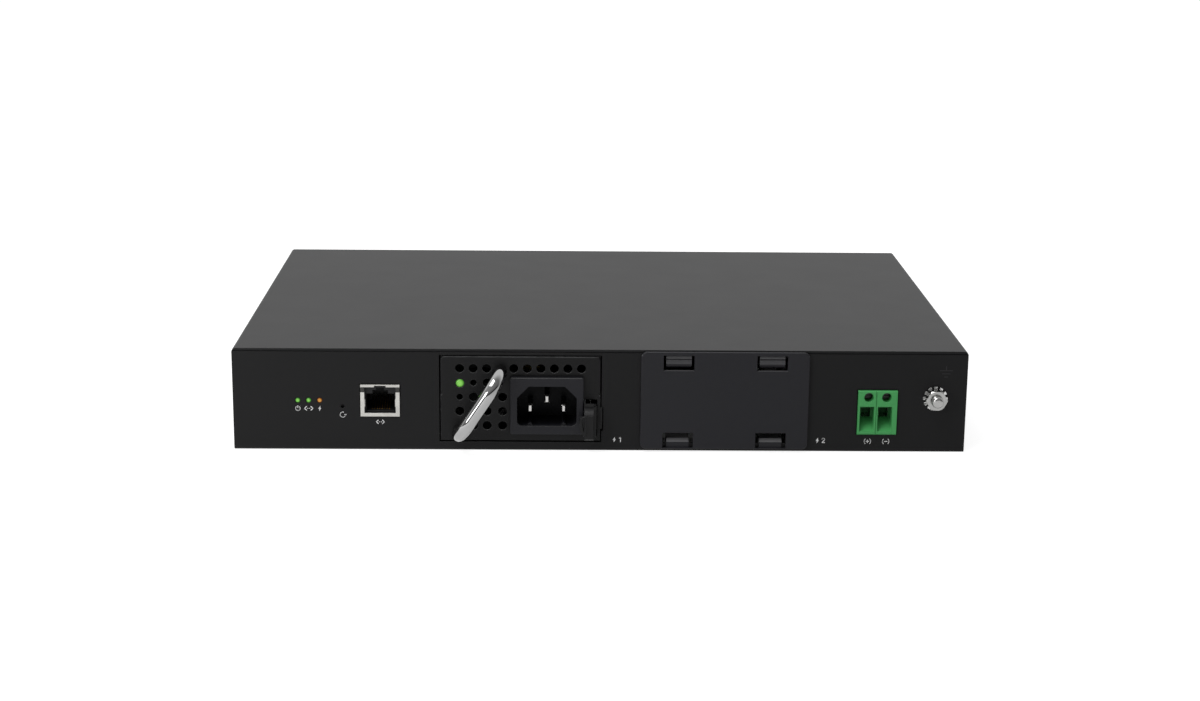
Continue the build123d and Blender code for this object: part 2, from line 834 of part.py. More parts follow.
def terminal_header():
    """The header on the power board that the plug's nose goes into."""
    wall = 1.1
    inset = 1.4
    front = plug_front_y + plug_body_depth + 0.6
    back = front + plug_nose_depth + 1.6
    left = plug_left_x + inset - plug_nose_gap
    right = plug_right_x - inset + plug_nose_gap
    low = plug_bottom + 2.0 - plug_nose_gap
    high = plug_bottom + 12.5 + plug_nose_gap
    body = block(left - wall, right + wall, front, back, power_board_top, high + wall)
    body -= block(left, right, front - 1.0, back - 1.6, low, high)
    return chamfer(body.edges().filter_by(Axis.X).group_by(Axis.Z)[-1].sort_by(Axis.Y)[-1], 1.0)


def header_pins():
    """Two square pins that reach forward into the plug."""
    half = 0.5
    front = plug_front_y + plug_body_depth + 3.0
    back = plug_front_y + plug_body_depth + 0.6 + plug_nose_depth
    pins = []
    for pole in range(plug_poles):
        x = pole_centre(pole) + plug_screw_offset / 2
        z = header_pin_z()
        pin = block(x - half, x + half, front, back, z - half, z + half)
        pins.append(chamfer(pin.edges().group_by(Axis.Y)[0], 0.25))
    return pins


# Earth stud
washer_inner_radius = 2.8
washer_body_radius = 3.9
washer_tooth_radius = 5.1
washer_teeth = 12
washer_thickness = 0.8
nut_across_flats = 8.0
nut_height = 4.0
stud_reach = 8.3
stud_dome = 1.4
stud_free_gap = 0.15
ground_nut_back_y = front_y - washer_thickness * 1.2 - 0.15
ground_nut_front_y = ground_nut_back_y - nut_height


def ground_stud():
    """The earth stud: a domed free end, its core in the nut, and a flange inside."""
    tip = front_y - stud_reach
    stud = rod_y(stud_x, stud_z, stud_radius, tip, ground_nut_front_y - stud_free_gap)
    stud = fillet(stud.edges().sort_by(Axis.Y)[0], stud_dome)
    stud += rod_y(stud_x, stud_z, stud_core_radius, ground_nut_front_y - 0.5,
                  panel_back_y + 0.5)
    flange = from_front(Pos(stud_x, stud_z) * RegularPolygon(4.2, 6, major_radius=False),
                        panel_back_y, panel_back_y + 2.4)
    return stud + flange


def ground_washer():
    """An external-tooth lock washer, its teeth twisted out of the ring's plane."""
    ring_front = front_y - washer_thickness
    ring = from_front(Pos(stud_x, stud_z) * Circle(washer_body_radius), ring_front, front_y)
    tooth_root = washer_body_radius - 0.4
    tooth_width = 1.35
    for index in range(washer_teeth):
        angle = 360.0 * index / washer_teeth
        middle = (tooth_root + washer_tooth_radius) / 2
        tooth = Box(washer_tooth_radius - tooth_root, washer_thickness * 0.75, tooth_width)
        twist = Rot(12, 0, 0) * tooth
        place = Pos(stud_x, front_y - washer_thickness * 0.72, stud_z) * Rot(0, angle, 0)
        ring += place * Pos(middle, 0, 0) * twist
    ring -= rod_y(stud_x, stud_z, washer_inner_radius, ring_front - 2.0, front_y + 2.0)
    return ring - block(stud_x - 8, stud_x + 8, front_y, front_y + 2, stud_z - 8, stud_z + 8)


def ground_nut():
    """The hexagonal nut that clamps the washer, with chamfered corners."""
    back = ground_nut_back_y
    front = ground_nut_front_y
    hexagon = from_front(Pos(stud_x, stud_z) * RegularPolygon(nut_across_flats / 2, 6,
                                                             major_radius=False), front, back)
    corner_radius = nut_across_flats / math.sqrt(3)
    ease = 0.55
    outline = polygon((0, 0), (corner_radius - ease, 0), (corner_radius, ease),
                      (corner_radius, nut_height), (0, nut_height))
    cap = revolve(Plane.XZ * outline, axis=Axis.Z)
    nut = hexagon & (Pos(stud_x, front, stud_z) * Rot(-90, 0, 0) * cap)
    return nut - rod_y(stud_x, stud_z, stud_core_radius + thread_gap, front - 1.0, back + 1.0)


# Blank cover of the spare bay
blank_width = bay_opening_width + 2.6
blank_bottom = 1.5
blank_top = 43.2
blank_thickness = 1.8
blank_corner_radius = 2.5
blank_seat_gap = 0.1
clip_spacing = 38.9
clip_centre_shift = 0.05
clip_window_width = 12.8
clip_window_height = 6.6
clip_window_edge = 1.3
clip_width = 10.6
bottom_clip_width = 9.4
clip_thickness = 1.7
clip_reach = 11.0
clip_gap = 0.25

blank_back_y = front_y - blank_seat_gap
blank_front_y = blank_back_y - blank_thickness


def blank_cover():
    """The moulded cover of the spare bay, with four snap fingers and their windows."""
    height = blank_top - blank_bottom
    middle_z = (blank_top + blank_bottom) / 2
    plate = Pos(bay_2_x, middle_z) * RectangleRounded(blank_width, height, blank_corner_radius)
    cover = from_front(plate, blank_front_y, blank_back_y)
    cover = fillet(cover.faces().sort_by(Axis.Y)[0].outer_wire().edges(), 0.5)
    top_window_z = blank_top - clip_window_edge - clip_window_height / 2
    bottom_window_z = blank_bottom + clip_window_edge * 0.4 + clip_window_height / 2
    opening_top = bay_opening_bottom + bay_opening_height
    for side in (-1, 1):
        x = bay_2_x + clip_centre_shift + side * clip_spacing / 2
        for z in (top_window_z, bottom_window_z):
            window = Pos(x, z) * Rectangle(clip_window_width, clip_window_height)
            cover -= from_front(window, blank_front_y - 1.0, blank_back_y + 1.0)
        cover += top_finger(x, opening_top, top_window_z + clip_window_height / 2)
        cover += bottom_finger(x, bottom_window_z - clip_window_height / 2)
    rib_top = opening_top - clip_gap
    rib_bottom = bay_opening_bottom + clip_gap
    rib_depth = 4.0
    rib_thickness = 1.4
    for side in (-1, 1):
        outside = bay_2_x + side * (bay_opening_width / 2 - clip_gap)
        cover += block(outside, outside - side * rib_thickness, blank_back_y - 0.5,
                       front_y + rib_depth, rib_bottom, rib_top)
    return cover


def top_finger(x, opening_top, window_top):
    """A snap finger at a top window: a thumb block in front, a tongue behind."""
    step_y = blank_front_y + 0.3
    block_bottom = window_top - clip_window_height + 1.3
    tongue_top = opening_top - clip_gap
    profile = polygon((step_y + 1.2, window_top + 0.3), (step_y + 1.2, window_top - 0.1),
                      (step_y + 0.2, window_top - 1.4), (step_y + 0.9, window_top - 1.7),
                      (step_y + 0.9, window_top - 2.1), (step_y + 0.5, window_top - 2.3),
                      (step_y, window_top - 3.7), (step_y + 0.4, block_bottom + 0.7),
                      (step_y + 1.1, block_bottom),
                      (blank_back_y + 0.6, block_bottom),
                      (front_y + clip_reach, tongue_top - clip_thickness * 0.7),
                      (front_y + clip_reach, tongue_top - 0.3),
                      (front_y + clip_reach - 1.5, tongue_top),
                      (blank_back_y, tongue_top), (blank_back_y, window_top + 0.3))
    finger = from_side(profile, x - clip_width / 2, x + clip_width / 2)
    corners = finger.edges().filter_by(Axis.Y).group_by(Axis.Z)[0]
    return fillet(corners, 1.0) if len(corners) == 2 else finger


def bottom_finger(x, window_bottom):
    """A snap finger at a bottom window: a ledge in front, a tongue behind."""
    tongue_bottom = bay_opening_bottom + clip_gap
    tongue_top = tongue_bottom + clip_thickness
    ramp = 1.3
    ledge_y = blank_front_y + 0.9
    profile = polygon((ledge_y, window_bottom - 0.3), (ledge_y, tongue_top - ramp),
                      (ledge_y + ramp, tongue_top),
                      (front_y + clip_reach, tongue_bottom + clip_thickness * 0.7),
                      (front_y + clip_reach, tongue_bottom + 0.3),
                      (front_y + clip_reach - 1.5, tongue_bottom),
                      (blank_back_y, tongue_bottom), (blank_back_y, window_bottom - 0.3))
    half = bottom_clip_width / 2
    return from_side(profile, x - half, x + half)


# Module: inlet
inlet_x = bay_1_x + 11.0
inlet_z = 20.05
inlet_flange_width = 30.6
inlet_flange_height = 24.4
inlet_flange_thickness = 3.0
inlet_flange_radius = 1.0
inlet_body_width = 27.0
inlet_body_height = 19.8
inlet_body_depth = 19.0
inlet_panel_gap = 0.15
inlet_cavity_width = 24.8
inlet_cavity_height = 17.0
inlet_cavity_depth = 17.0
inlet_cavity_chamfer = 4.9
inlet_cavity_radius = 2.2
inlet_pin_pitch = 14.0
inlet_pin_width = 2.0
inlet_pin_height = 4.0
inlet_pin_recess = 4.5
inlet_earth_z = inlet_z + 1.9
inlet_line_z = inlet_z - 2.1
inlet_front_y = front_y - inlet_flange_thickness
inlet_back_y = front_y + inlet_body_depth


def inlet_outline(grow=0.0):
    """The cavity's outline: two chamfered top corners, two rounded bottom ones."""
    width = inlet_cavity_width + 2 * grow
    height = inlet_cavity_height + 2 * grow
    outline = Rectangle(width, height)
    outline = chamfer(outline.vertices().group_by(Axis.Y)[-1], inlet_cavity_chamfer)
    outline = fillet(outline.vertices().group_by(Axis.Y)[0], inlet_cavity_radius)
    return Pos(inlet_x, inlet_z) * outline


def inlet_housing():
    """The moulded mains inlet: flange, body and keyed cavity."""
    flange = Pos(inlet_x, inlet_z) * RectangleRounded(inlet_flange_width, inlet_flange_height,
                                                      inlet_flange_radius)
    housing = from_front(flange, inlet_front_y, front_y)
    housing = fillet(housing.faces().sort_by(Axis.Y)[0].outer_wire().edges(), 0.5)
    body = Pos(inlet_x, inlet_z) * RectangleRounded(inlet_body_width, inlet_body_height, 1.0)
    housing += from_front(body, front_y - 0.5, inlet_back_y)
    cavity_back = inlet_front_y + inlet_cavity_depth
    housing -= from_front(inlet_outline(), inlet_front_y - 1.0, cavity_back)
    ceiling = inlet_z + inlet_cavity_height / 2
    key = polygon((inlet_x - 1.2, ceiling + 0.5), (inlet_x + 1.2, ceiling + 0.5),
                  (inlet_x + 0.3, ceiling - 2.4), (inlet_x - 0.3, ceiling - 2.4))
    housing += from_front(key, cavity_back - 6.0, cavity_back + 0.5)
    cavity_floor = inlet_z - inlet_cavity_height / 2
    for side in (-1, 1):
        x = inlet_x + side * inlet_pin_pitch / 2
        rib = Pos(x, cavity_floor) * Circle(1.0)
        housing += from_front(rib, inlet_front_y + 1.5, cavity_back + 0.5)
    for x, z in inlet_pin_places():
        housing -= block(x - inlet_pin_width / 2, x + inlet_pin_width / 2,
                         cavity_back - 1.0, inlet_back_y + 1.0,
                         z - inlet_pin_height / 2, z + inlet_pin_height / 2)
    return housing


def inlet_pin_places():
    """X and Z of the two supply pins and the earth pin."""
    return [(inlet_x - inlet_pin_pitch / 2, inlet_line_z),
            (inlet_x, inlet_earth_z),
            (inlet_x + inlet_pin_pitch / 2, inlet_line_z)]


def inlet_pins():
    """Three flat pins with eased tips, which end in tabs behind the inlet."""
    pins = []
    for x, z in inlet_pin_places():
        front = inlet_front_y + inlet_pin_recess
        pin = block(x - inlet_pin_width / 2, x + inlet_pin_width / 2, front,
                    inlet_back_y + 5.0, z - inlet_pin_height / 2, z + inlet_pin_height / 2)
        tip = pin.faces().sort_by(Axis.Y)[0]
        sides = tip.edges().filter_by(Axis.Z)
        pin = chamfer(sides, 0.5)
        ends = pin.faces().sort_by(Axis.Y)[0].edges().filter_by(Axis.X)
        pins.append(chamfer(ends, 0.8))
    return pins


# Module: case
vent_radius = 1.85
small_vent_radius = 1.35
top_vent_count = 10
top_vent_first = 8.0
top_vent_pitch = 5.62
top_vent_z = 35.5
block_vent_columns = (8.0, 13.7, 19.4, 25.85)
block_vent_row_pitch = 6.15
module_led_x = module_left + 8.1
module_led_z = 29.1
module_led_radius = 1.7

handle_radius = 3.0
handle_stand = 13.0
handle_bend_radius = 9.0
handle_top_x = module_left + 24.8
handle_top_z = 34.4
handle_bottom_x = module_left + 7.6
handle_bottom_z = 8.4

latch_slot_left = module_right - 7.1
latch_slot_bottom = 6.3
latch_slot_top = 22.4
latch_slot_right = module_right - 1.3


def module_face():
    """The module's front plate with all its holes, in X and Z."""
    middle = (bay_1_x, module_bottom + module_height / 2)
    plate = Pos(*middle) * Rectangle(module_width, module_height)
    plate = fillet(plate.vertices().group_by(Axis.Y)[-1], module_corner_radius)
    for index in range(top_vent_count):
        x = module_left + top_vent_first + index * top_vent_pitch
        if abs(x - handle_top_x) > handle_radius:
            plate -= Pos(x, top_vent_z) * Circle(vent_radius)
    for row in range(1, 5):
        for column, distance in enumerate(block_vent_columns):
            x = module_left + distance
            z = top_vent_z - row * block_vent_row_pitch
            place = (row, column)
            if place in ((1, 0), (1, 3), (4, 0)):
                continue
            small = place in ((1, 1), (2, 0))
            plate -= Pos(x, z) * Circle(small_vent_radius if small else vent_radius)
    plate -= Pos(module_led_x, module_led_z) * Circle(module_led_radius + led_hole_gap)
    for x, z in handle_feet():
        plate -= Pos(x, z) * Circle(screw_radius + thread_gap)
    plate -= Pos(inlet_x, inlet_z) * Rectangle(inlet_body_width + 2 * inlet_panel_gap,
                                               inlet_body_height + 2 * inlet_panel_gap)
    plate -= latch_slot()
    notch_z = 24.7
    for x in (module_left, module_right):
        plate -= Pos(x, notch_z) * Circle(0.8)
    return plate


def latch_slot():
    """The latch's slot in the module's front plate."""
    return Pos((latch_slot_left + latch_slot_right) / 2,
               (latch_slot_bottom + latch_slot_top) / 2) * Rectangle(
        latch_slot_right - latch_slot_left, latch_slot_top - latch_slot_bottom)


def handle_feet():
    """X and Z of the handle's two legs."""
    return [(handle_top_x, handle_top_z), (handle_bottom_x, handle_bottom_z)]


tab_length = 9.0
tab_width = 6.0
module_lid_bottom = module_top - module_sheet
module_tab_y = (14.0, module_length - 18.0)


def lid_screw_places():
    """X and Y of the lid's four screws."""
    return [(x, front_y + y) for y in module_tab_y
            for x in (module_left + module_sheet + tab_width / 2,
                      module_right - module_sheet - tab_width / 2)]


def module_case():
    """The module's floor, front plate and sides, folded from one sheet."""
    case = from_front(module_face(), front_y, front_y + module_sheet)
    floor_and_sides = Pos(bay_1_x, module_bottom + module_height / 2) * (
        Rectangle(module_width, module_height)
        - Pos(0, module_sheet) * Rectangle(module_width - 2 * module_sheet, module_height))
    floor_and_sides = fillet(floor_and_sides.vertices().group_by(Axis.Y)[0], 0.8)
    side_top = module_lid_bottom - 0.1
    shell = from_front(floor_and_sides, front_y + module_sheet * 0.5, module_back_y)
    shell -= block(module_left - 1, module_right + 1, front_y - 1, module_back_y + 1,
                   side_top, module_top + 5)
    case += shell
    for x, y in lid_screw_places():
        side = -1 if x < bay_1_x else 1
        wall = module_left + module_sheet / 2 if side < 0 else module_right - module_sheet / 2
        inner = x - side * tab_width / 2
        tab = block(wall, inner, y - tab_length / 2, y + tab_length / 2,
                    side_top - module_sheet, side_top)
        case += tab - rod_z(x, y, small_screw_radius + thread_gap, side_top - 5, side_top + 5)
    case -= block(module_right - 2 * module_sheet, module_right + 1,
                  front_y + module_sheet, latch_tooth_back_y + 1.2,
                  latch_tooth_bottom - 0.8, latch_tooth_top + 0.8)
    front_rim = case.faces().sort_by(Axis.Y)[0].outer_wire().edges().filter_by(
        lambda edge: edge.length > module_width * 0.8)
    return fillet(front_rim, 0.45)


def module_lid():
    """The module's top with its rear wall folded down, vented behind."""
    lid = block(module_left, module_right, front_y + module_sheet + 0.1, module_back_y,
                module_lid_bottom, module_top)
    rear = block(module_left + module_sheet + 0.1, module_right - module_sheet - 0.1,
                 module_back_y - module_sheet, module_back_y,
                 module_floor_top + 0.2, module_lid_bottom + 0.5)
    lid += rear
    half = tongue_width / 2 + 1.0
    lid -= block(bay_1_x - half, bay_1_x + half, module_back_y - 2 * module_sheet,
                 module_back_y + 1, module_board_bottom - 1.0, module_board_top + 1.0)
    slot_count = 8
    slot_pitch = 7.2
    slots = Sketch()
    for index in range(slot_count):
        x = bay_1_x + (index - (slot_count - 1) / 2) * slot_pitch
        slots += Pos(x, 25.5) * Rot(0, 0, 90) * SlotOverall(18.0, 3.4)
    lid -= from_front(slots, module_back_y - 2 * module_sheet, module_back_y + 1)
    for x, y in lid_screw_places():
        lid -= module_lid_screw(x, y, thread_gap)
    back_edge = lid.edges().filter_by(Axis.X).group_by(Axis.Z)[-1].sort_by(Axis.Y)[-1]
    return fillet(back_edge, 0.8)


def module_lid_screw(x, y, grow=0.0):
    """A small countersunk screw in the lid, or the room for it."""
    head = small_head_radius + grow
    shank = small_screw_radius + grow
    depth = (head - shank) * 0.75
    length = 2.6
    outline = polygon((0, 0), (head, 0), (shank, -depth), (shank, -length), (0, -length))
    return Pos(x, y, module_top) * revolve(Plane.XZ * outline, axis=Axis.Z)


def module_lid_screws():
    """The lid's four countersunk screws."""
    return [module_lid_screw(x, y) for x, y in lid_screw_places()]


def module_handle():
    """The bent chrome rod, its legs square to the plate and tapped at the ends."""
    front = front_y - handle_stand
    corners = [(handle_top_x, front_y, handle_top_z), (handle_top_x, front, handle_top_z),
               (handle_bottom_x, front, handle_bottom_z),
               (handle_bottom_x, front_y, handle_bottom_z)]
    path = FilletPolyline(*corners, radius=handle_bend_radius)
    section = front_plane(front_y) * Pos(handle_top_x, handle_top_z) * Circle(handle_radius)
    rod = sweep(section, path=path)
    for x, z in handle_feet():
        rod -= rod_y(x, z, screw_radius + thread_gap, front_y - 6.0, front_y + 1.0)
    return rod


def handle_screws():
    """The two screws that hold the handle from behind the plate."""
    screws = []
    head_height = 1.8
    for x, z in handle_feet():
        screw = pan_head_screw(screw_radius, screw_head_radius, head_height, 6.0)
        screws.append(Pos(x, front_y + module_sheet, z) * Rot(-90, 0, 0) * screw)
    return screws


def module_led():
    """The module's status lamp, a clear rod with a flange behind the plate."""
    front = front_y - 0.3
    lamp = rod_y(module_led_x, module_led_z, module_led_radius, front, front_y + 6.0)
    lamp += rod_y(module_led_x, module_led_z, module_led_radius + 0.6,
                  front_y + module_sheet, front_y + module_sheet + 0.8)
    return fillet(lamp.edges().sort_by(Axis.Y)[0], 0.8)


# Module: latch
latch_barrel_radius = 2.2
latch_wall_gap = 0.5
latch_pin_x = module_right - module_sheet - latch_wall_gap - latch_barrel_radius
latch_pin_y = front_y + 22.5
latch_pin_radius = 1.0
latch_pin_gap = 0.06
latch_bottom = 7.2
latch_arm_top = 20.4
latch_head_front_y = front_y - 8.6
latch_head_back_y = inlet_front_y - 0.7
latch_head_left = module_right - 6.7
latch_head_right = module_right - 2.8
latch_head_bottom = 6.8
latch_head_top = 21.6
latch_spring_wire = 0.45
latch_window_inset = 3.2


def latch_lever():
    """The moulded release lever: barrel, arm, locking tooth, head and finger tab."""
    arm_left = latch_arm_right - latch_arm_thickness
    arm = block(arm_left, latch_arm_right, latch_head_back_y - 0.5, latch_pin_y,
                latch_bottom, latch_arm_top)
    barrel = rod_z(latch_pin_x, latch_pin_y, latch_barrel_radius, latch_bottom, latch_arm_top)
    tooth = from_top(polygon((latch_arm_right - 0.5, latch_tooth_front_y),
                             (latch_tooth_tip_x, latch_tooth_front_y),
                             (latch_tooth_tip_x, latch_tooth_front_y + 1.0),
                             (latch_arm_right - 0.5, latch_tooth_back_y)),
                     latch_tooth_bottom, latch_tooth_top)
    lever = arm + barrel + tooth + latch_head() + latch_tab()
    window_bottom = latch_bottom + latch_window_inset
    window_top = latch_arm_top - latch_window_inset
    lever -= block(latch_pin_x - 4, latch_pin_x + 4, latch_pin_y - 2.6, latch_pin_y + 4,
                   window_bottom, window_top)
    return lever - rod_z(latch_pin_x, latch_pin_y, latch_pin_radius + latch_pin_gap, 0, 60)


def latch_head():
    """The head in front of the plate, hollowed at its top like a thumb rest."""
    back = latch_head_back_y
    front = latch_head_front_y
    ramp_z = latch_head_top - 4.4
    outline = [Line((back, latch_head_bottom), (front + 0.8, latch_head_bottom)),
               Line((front + 0.8, latch_head_bottom), (front, latch_head_bottom + 0.8)),
               Line((front, latch_head_bottom + 0.8), (front, ramp_z)),
               ThreePointArc((front, ramp_z), (back - 2.2, ramp_z + 1.2),
                             (back - 1.2, latch_head_top)),
               Line((back - 1.2, latch_head_top), (back, latch_head_top)),
               Line((back, latch_head_top), (back, latch_head_bottom))]
    head = from_side(make_face(outline), latch_head_left, latch_head_right)
    return fillet(head.edges().filter_by(Axis.Z).group_by(Axis.Y)[0], 0.5)


def latch_tab():
    """The finger tab: a thin blade whose top flares towards the inlet."""
    root = latch_head_left + 0.6
    flare = 2.4
    bottom_z = latch_head_bottom + 2.6
    top_z = latch_head_top - 4.7
    front = latch_head_front_y - 2.0
    back = latch_head_front_y + 1.6
    outline = [Line((root, bottom_z - 0.6), (root - 1.0, bottom_z)),
               ThreePointArc((root - 1.0, bottom_z), (root - flare - 0.2, top_z - 3.4),
                             (root - flare, top_z)),
               Line((root - flare, top_z), (root, top_z + 0.4)),
               Line((root, top_z + 0.4), (root, bottom_z - 0.6))]
    tab = from_front(make_face(outline), front, back)
    groove = [ThreePointArc((root - 0.75, bottom_z + 1.6), (root - flare * 0.62, top_z - 3.2),
                            (root - flare * 0.62, top_z + 1.0)),
              Line((root - flare * 0.62, top_z + 1.0), (root - 0.35, top_z + 1.0)),
              Line((root - 0.35, top_z + 1.0), (root - 0.75, bottom_z + 1.6))]
    return tab - from_front(make_face(groove), front - 1.0, front + 1.4)


latch_bracket_thickness = 0.8
latch_bracket_gap = 0.3


def latch_bracket():
    """A folded bracket on the module's floor that holds both ends of the pin."""
    low = latch_bottom - latch_bracket_gap
    high = latch_arm_top + latch_bracket_gap
    thickness = latch_bracket_thickness
    left = latch_pin_x - 3.2
    right = module_right - module_sheet - 0.1
    front = latch_pin_y - 3.0
    back = latch_pin_y + 5.0
    bracket = block(left, right, back - thickness, back, module_floor_top, high + thickness)
    bracket += block(left, right, front, back, low - thickness, low)
    bracket += block(left, right, front, back, high, high + thickness)
    bracket += block(left, right, back - thickness, back + 4.2, module_floor_top,
                     module_floor_top + thickness)
    return bracket - rod_z(latch_pin_x, latch_pin_y, latch_pin_radius + 0.02, 0, 60)


def latch_pin():
    """The steel pin that the lever turns on."""
    low = latch_bottom - latch_bracket_gap - latch_bracket_thickness - 0.4
    high = latch_arm_top + latch_bracket_gap + latch_bracket_thickness + 0.6
    pin = rod_z(latch_pin_x, latch_pin_y, latch_pin_radius, low, high)
    return chamfer(pin.edges().filter_by(GeomType.CIRCLE), 0.25)


def latch_spring():
    """The torsion spring round the lever's pin, in the barrel's window."""
    wire = latch_spring_wire
    radius = latch_pin_radius + 0.25 + wire
    pitch = 2 * wire * 0.94
    end_gap = 0.4
    start = latch_bottom + latch_window_inset + end_gap + wire
    room = latch_arm_top - latch_window_inset - end_gap - wire - start
    turns = int(room / pitch) + 1
    coil = Sketch()
    for turn in range(turns):
        coil += Pos(radius, start + turn * pitch) * Circle(wire)
    spring = Pos(latch_pin_x, latch_pin_y, 0) * revolve(Plane.XZ * coil, axis=Axis.Z)
    leg_z = start + (turns - 1) * pitch
    leg_x = latch_pin_x - radius
    spring += rod_y(leg_x, leg_z, wire * 0.8, latch_pin_y, latch_pin_y + 3.7)
    return spring


# Module: board and what stands on it
module_board_left = module_left + module_sheet + 1.6
module_board_right = module_right - module_sheet - 1.6
module_board_front = front_y + 31.0
module_board_back = module_back_y - module_sheet - 1.2
module_board_width = module_board_right - module_board_left
module_board_length = module_board_back - module_board_front


def module_board_places():
    """X and Y of the module board's four screws."""
    inset = 4.5
    return [(x, y) for x in (module_board_left + inset, module_board_right - inset)
            for y in (module_board_front + inset, module_board_back - inset)]


def module_board():
    """The module's board, whose rear edge is the plug-in tongue."""
    tongue_end = module_back_y + tongue_reach
    ease = 0.8
    outline = polygon((module_board_left, module_board_front),
                      (module_board_right, module_board_front),
                      (module_board_right, module_board_back),
                      (bay_1_x + tongue_width / 2, module_board_back),
                      (bay_1_x + tongue_width / 2, tongue_end - ease),
                      (bay_1_x + tongue_width / 2 - ease, tongue_end),
                      (bay_1_x - tongue_width / 2 + ease, tongue_end),
                      (bay_1_x - tongue_width / 2, tongue_end - ease),
                      (bay_1_x - tongue_width / 2, module_board_back),
                      (module_board_left, module_board_back))
    for x, y in module_board_places():
        outline -= Pos(x, y) * Circle(board_hole_radius)
    board = from_top(outline, module_board_bottom, module_board_top)
    tip = board.edges().filter_by(Axis.X).group_by(Axis.Y)[-1]
    return chamfer(tip, 0.35)


def module_standoffs():
    """The four standoffs between the module's floor and its board."""
    pieces = []
    for x, y in module_board_places():
        body = from_top(Pos(x, y) * RegularPolygon(standoff_radius, 6), module_floor_top,
                        module_board_bottom)
        pieces.append(body - rod_z(x, y, small_screw_radius + thread_gap,
                                   module_floor_top + 1.0, module_board_bottom + 1.0))
    return pieces


def module_board_screws():
    """The four screws of the module's board."""
    return [board_screw(x, y, module_board_top) for x, y in module_board_places()]


def on_board(x, y):
    """A place on the module's board, from its front left corner."""
    return Pos(module_board_left + x, module_board_front + y, module_board_top)


def standing_block(x, y, width, depth, height, ease):
    """A component with eased edges, from its own left and front sides."""
    piece = Pos(width / 2, depth / 2, height / 2) * Box(width, depth, height)
    piece = chamfer(piece.edges().filter_by(Axis.Z), ease)
    return on_board(x, y) * piece


def capacitor(x, y, radius, height):
    """A standing can with a crimp groove near its foot."""
    groove = radius * 0.08
    outline = polygon((0, 0), (radius, 0), (radius, 2.0), (radius - groove, 2.6),
                      (radius, 3.2), (radius, height - 0.6), (radius - 0.6, height),
                      (0, height))
    return on_board(x, y) * revolve(Plane.XZ * outline, axis=Axis.Z)


def emi_choke_core():
    """The common-mode choke's ring-shaped core, standing on edge."""
    ring = Circle(emi_ring_radius) - Circle(emi_ring_hole)
    return emi_choke_place() * Pos(0, 0, -emi_ring_depth / 2) * extrude(ring, emi_ring_depth)


def emi_choke_windings():
    """The choke's two windings, each a sleeve round one side of its core."""
    wire = 1.0
    gap = 0.05
    depth = emi_ring_depth + 2 * wire
    room_depth = emi_ring_depth + 2 * gap
    sleeve = Circle(emi_ring_radius + wire) - Circle(emi_ring_hole - wire)
    room = Circle(emi_ring_radius + gap) - Circle(emi_ring_hole - gap)
    pieces = []
    for side in (-1, 1):
        half = Pos(side * 6.4, 0) * Rectangle(6.0, 11.0)
        slab = Pos(0, 0, -depth / 2) * extrude(sleeve & half, depth)
        slab -= Pos(0, 0, -room_depth / 2) * extrude(room, room_depth)
        pieces.append(emi_choke_place() * slab)
    return pieces


emi_ring_radius = 8.6
emi_ring_hole = 4.4
emi_ring_depth = 8.0


def emi_choke_place():
    """The ring's centre, its axis along the board."""
    return on_board(15.0, 13.0) * Pos(0, 0, emi_ring_radius + 0.1) * Rot(90, 0, 0)


def filter_capacitor():
    """The box-shaped suppression capacitor."""
    return standing_block(30.0, 3.0, 9.0, 20.0, 17.0, 0.6)


def bulk_capacitors():
    """The two large storage capacitors."""
    radius = 8.0
    height = 25.0
    x = module_board_width - radius - 1.4
    middle = 0.351 * module_board_length
    return [capacitor(x, middle + side * radius * 1.125, radius, height) for side in (-1, 1)]


sink_wall = 2.4
sink_height = 24.0
sink_face_x = 11.9
sink_start = 0.308 * module_board_length
sink_length = 0.377 * module_board_length


def heatsink():
    """An extruded heat sink: an upright wall with fins towards the case's side."""
    fin_length = 7.0
    fin_thickness = 1.2
    fins = 5
    foot = 2.0
    outline = polygon((0, 0), (-sink_wall, 0), (-sink_wall, sink_height), (0, sink_height))
    pitch = (sink_height - foot - fin_thickness) / (fins - 1)
    for index in range(fins):
        low = foot + index * pitch
        outline += polygon((0.1 - sink_wall, low), (-sink_wall - fin_length, low),
                           (-sink_wall - fin_length, low + fin_thickness),
                           (0.1 - sink_wall, low + fin_thickness))
    sink = Rot(90, 0, 0) * extrude(outline, sink_length)
    return on_board(sink_face_x, sink_start + sink_length) * sink


def power_transistors():
    """Three transistors that lean flat against the heat sink's wall."""
    pieces = []
    count = 3
    width = 0.232 * sink_length
    for index in range(count):
        y = sink_start + (index + 0.5) * sink_length / count - width / 2
        body = standing_block(sink_face_x, y, 4.4, width, 15.0, 0.5)
        tab = standing_block(sink_face_x, y, 1.3, width, 19.0, 0.3)
        pieces.append(body + tab)
    return pieces


transformer_x = 20.0
transformer_y = 0.548 * module_board_length
transformer_width = 26.0
transformer_depth = 0.24 * module_board_length
transformer_core_depth = transformer_depth / 2
transformer_height = 22.0
transformer_leg = 8.0
transformer_yoke = 5.0


def transformer_window():
    """The core's window pair, seen along the board, as one sketch."""
    width = transformer_width - 2 * transformer_yoke
    height = transformer_height - 2 * transformer_yoke
    return Rectangle(width, height) - Rectangle(transformer_leg, transformer_height)


def transformer_place():
    """The middle of the core, its legs upright, its windows along the board."""
    return on_board(transformer_x + transformer_width / 2,
                    transformer_y + transformer_depth / 2) * Pos(
        0, 0, transformer_height / 2) * Rot(90, 0, 0)


def transformer_core():
    """The ferrite core: two outer legs, a centre leg and two yokes."""
    depth = transformer_core_depth
    outline = Rectangle(transformer_width, transformer_height) - transformer_window()
    return transformer_place() * Pos(0, 0, -depth / 2) * extrude(outline, depth)


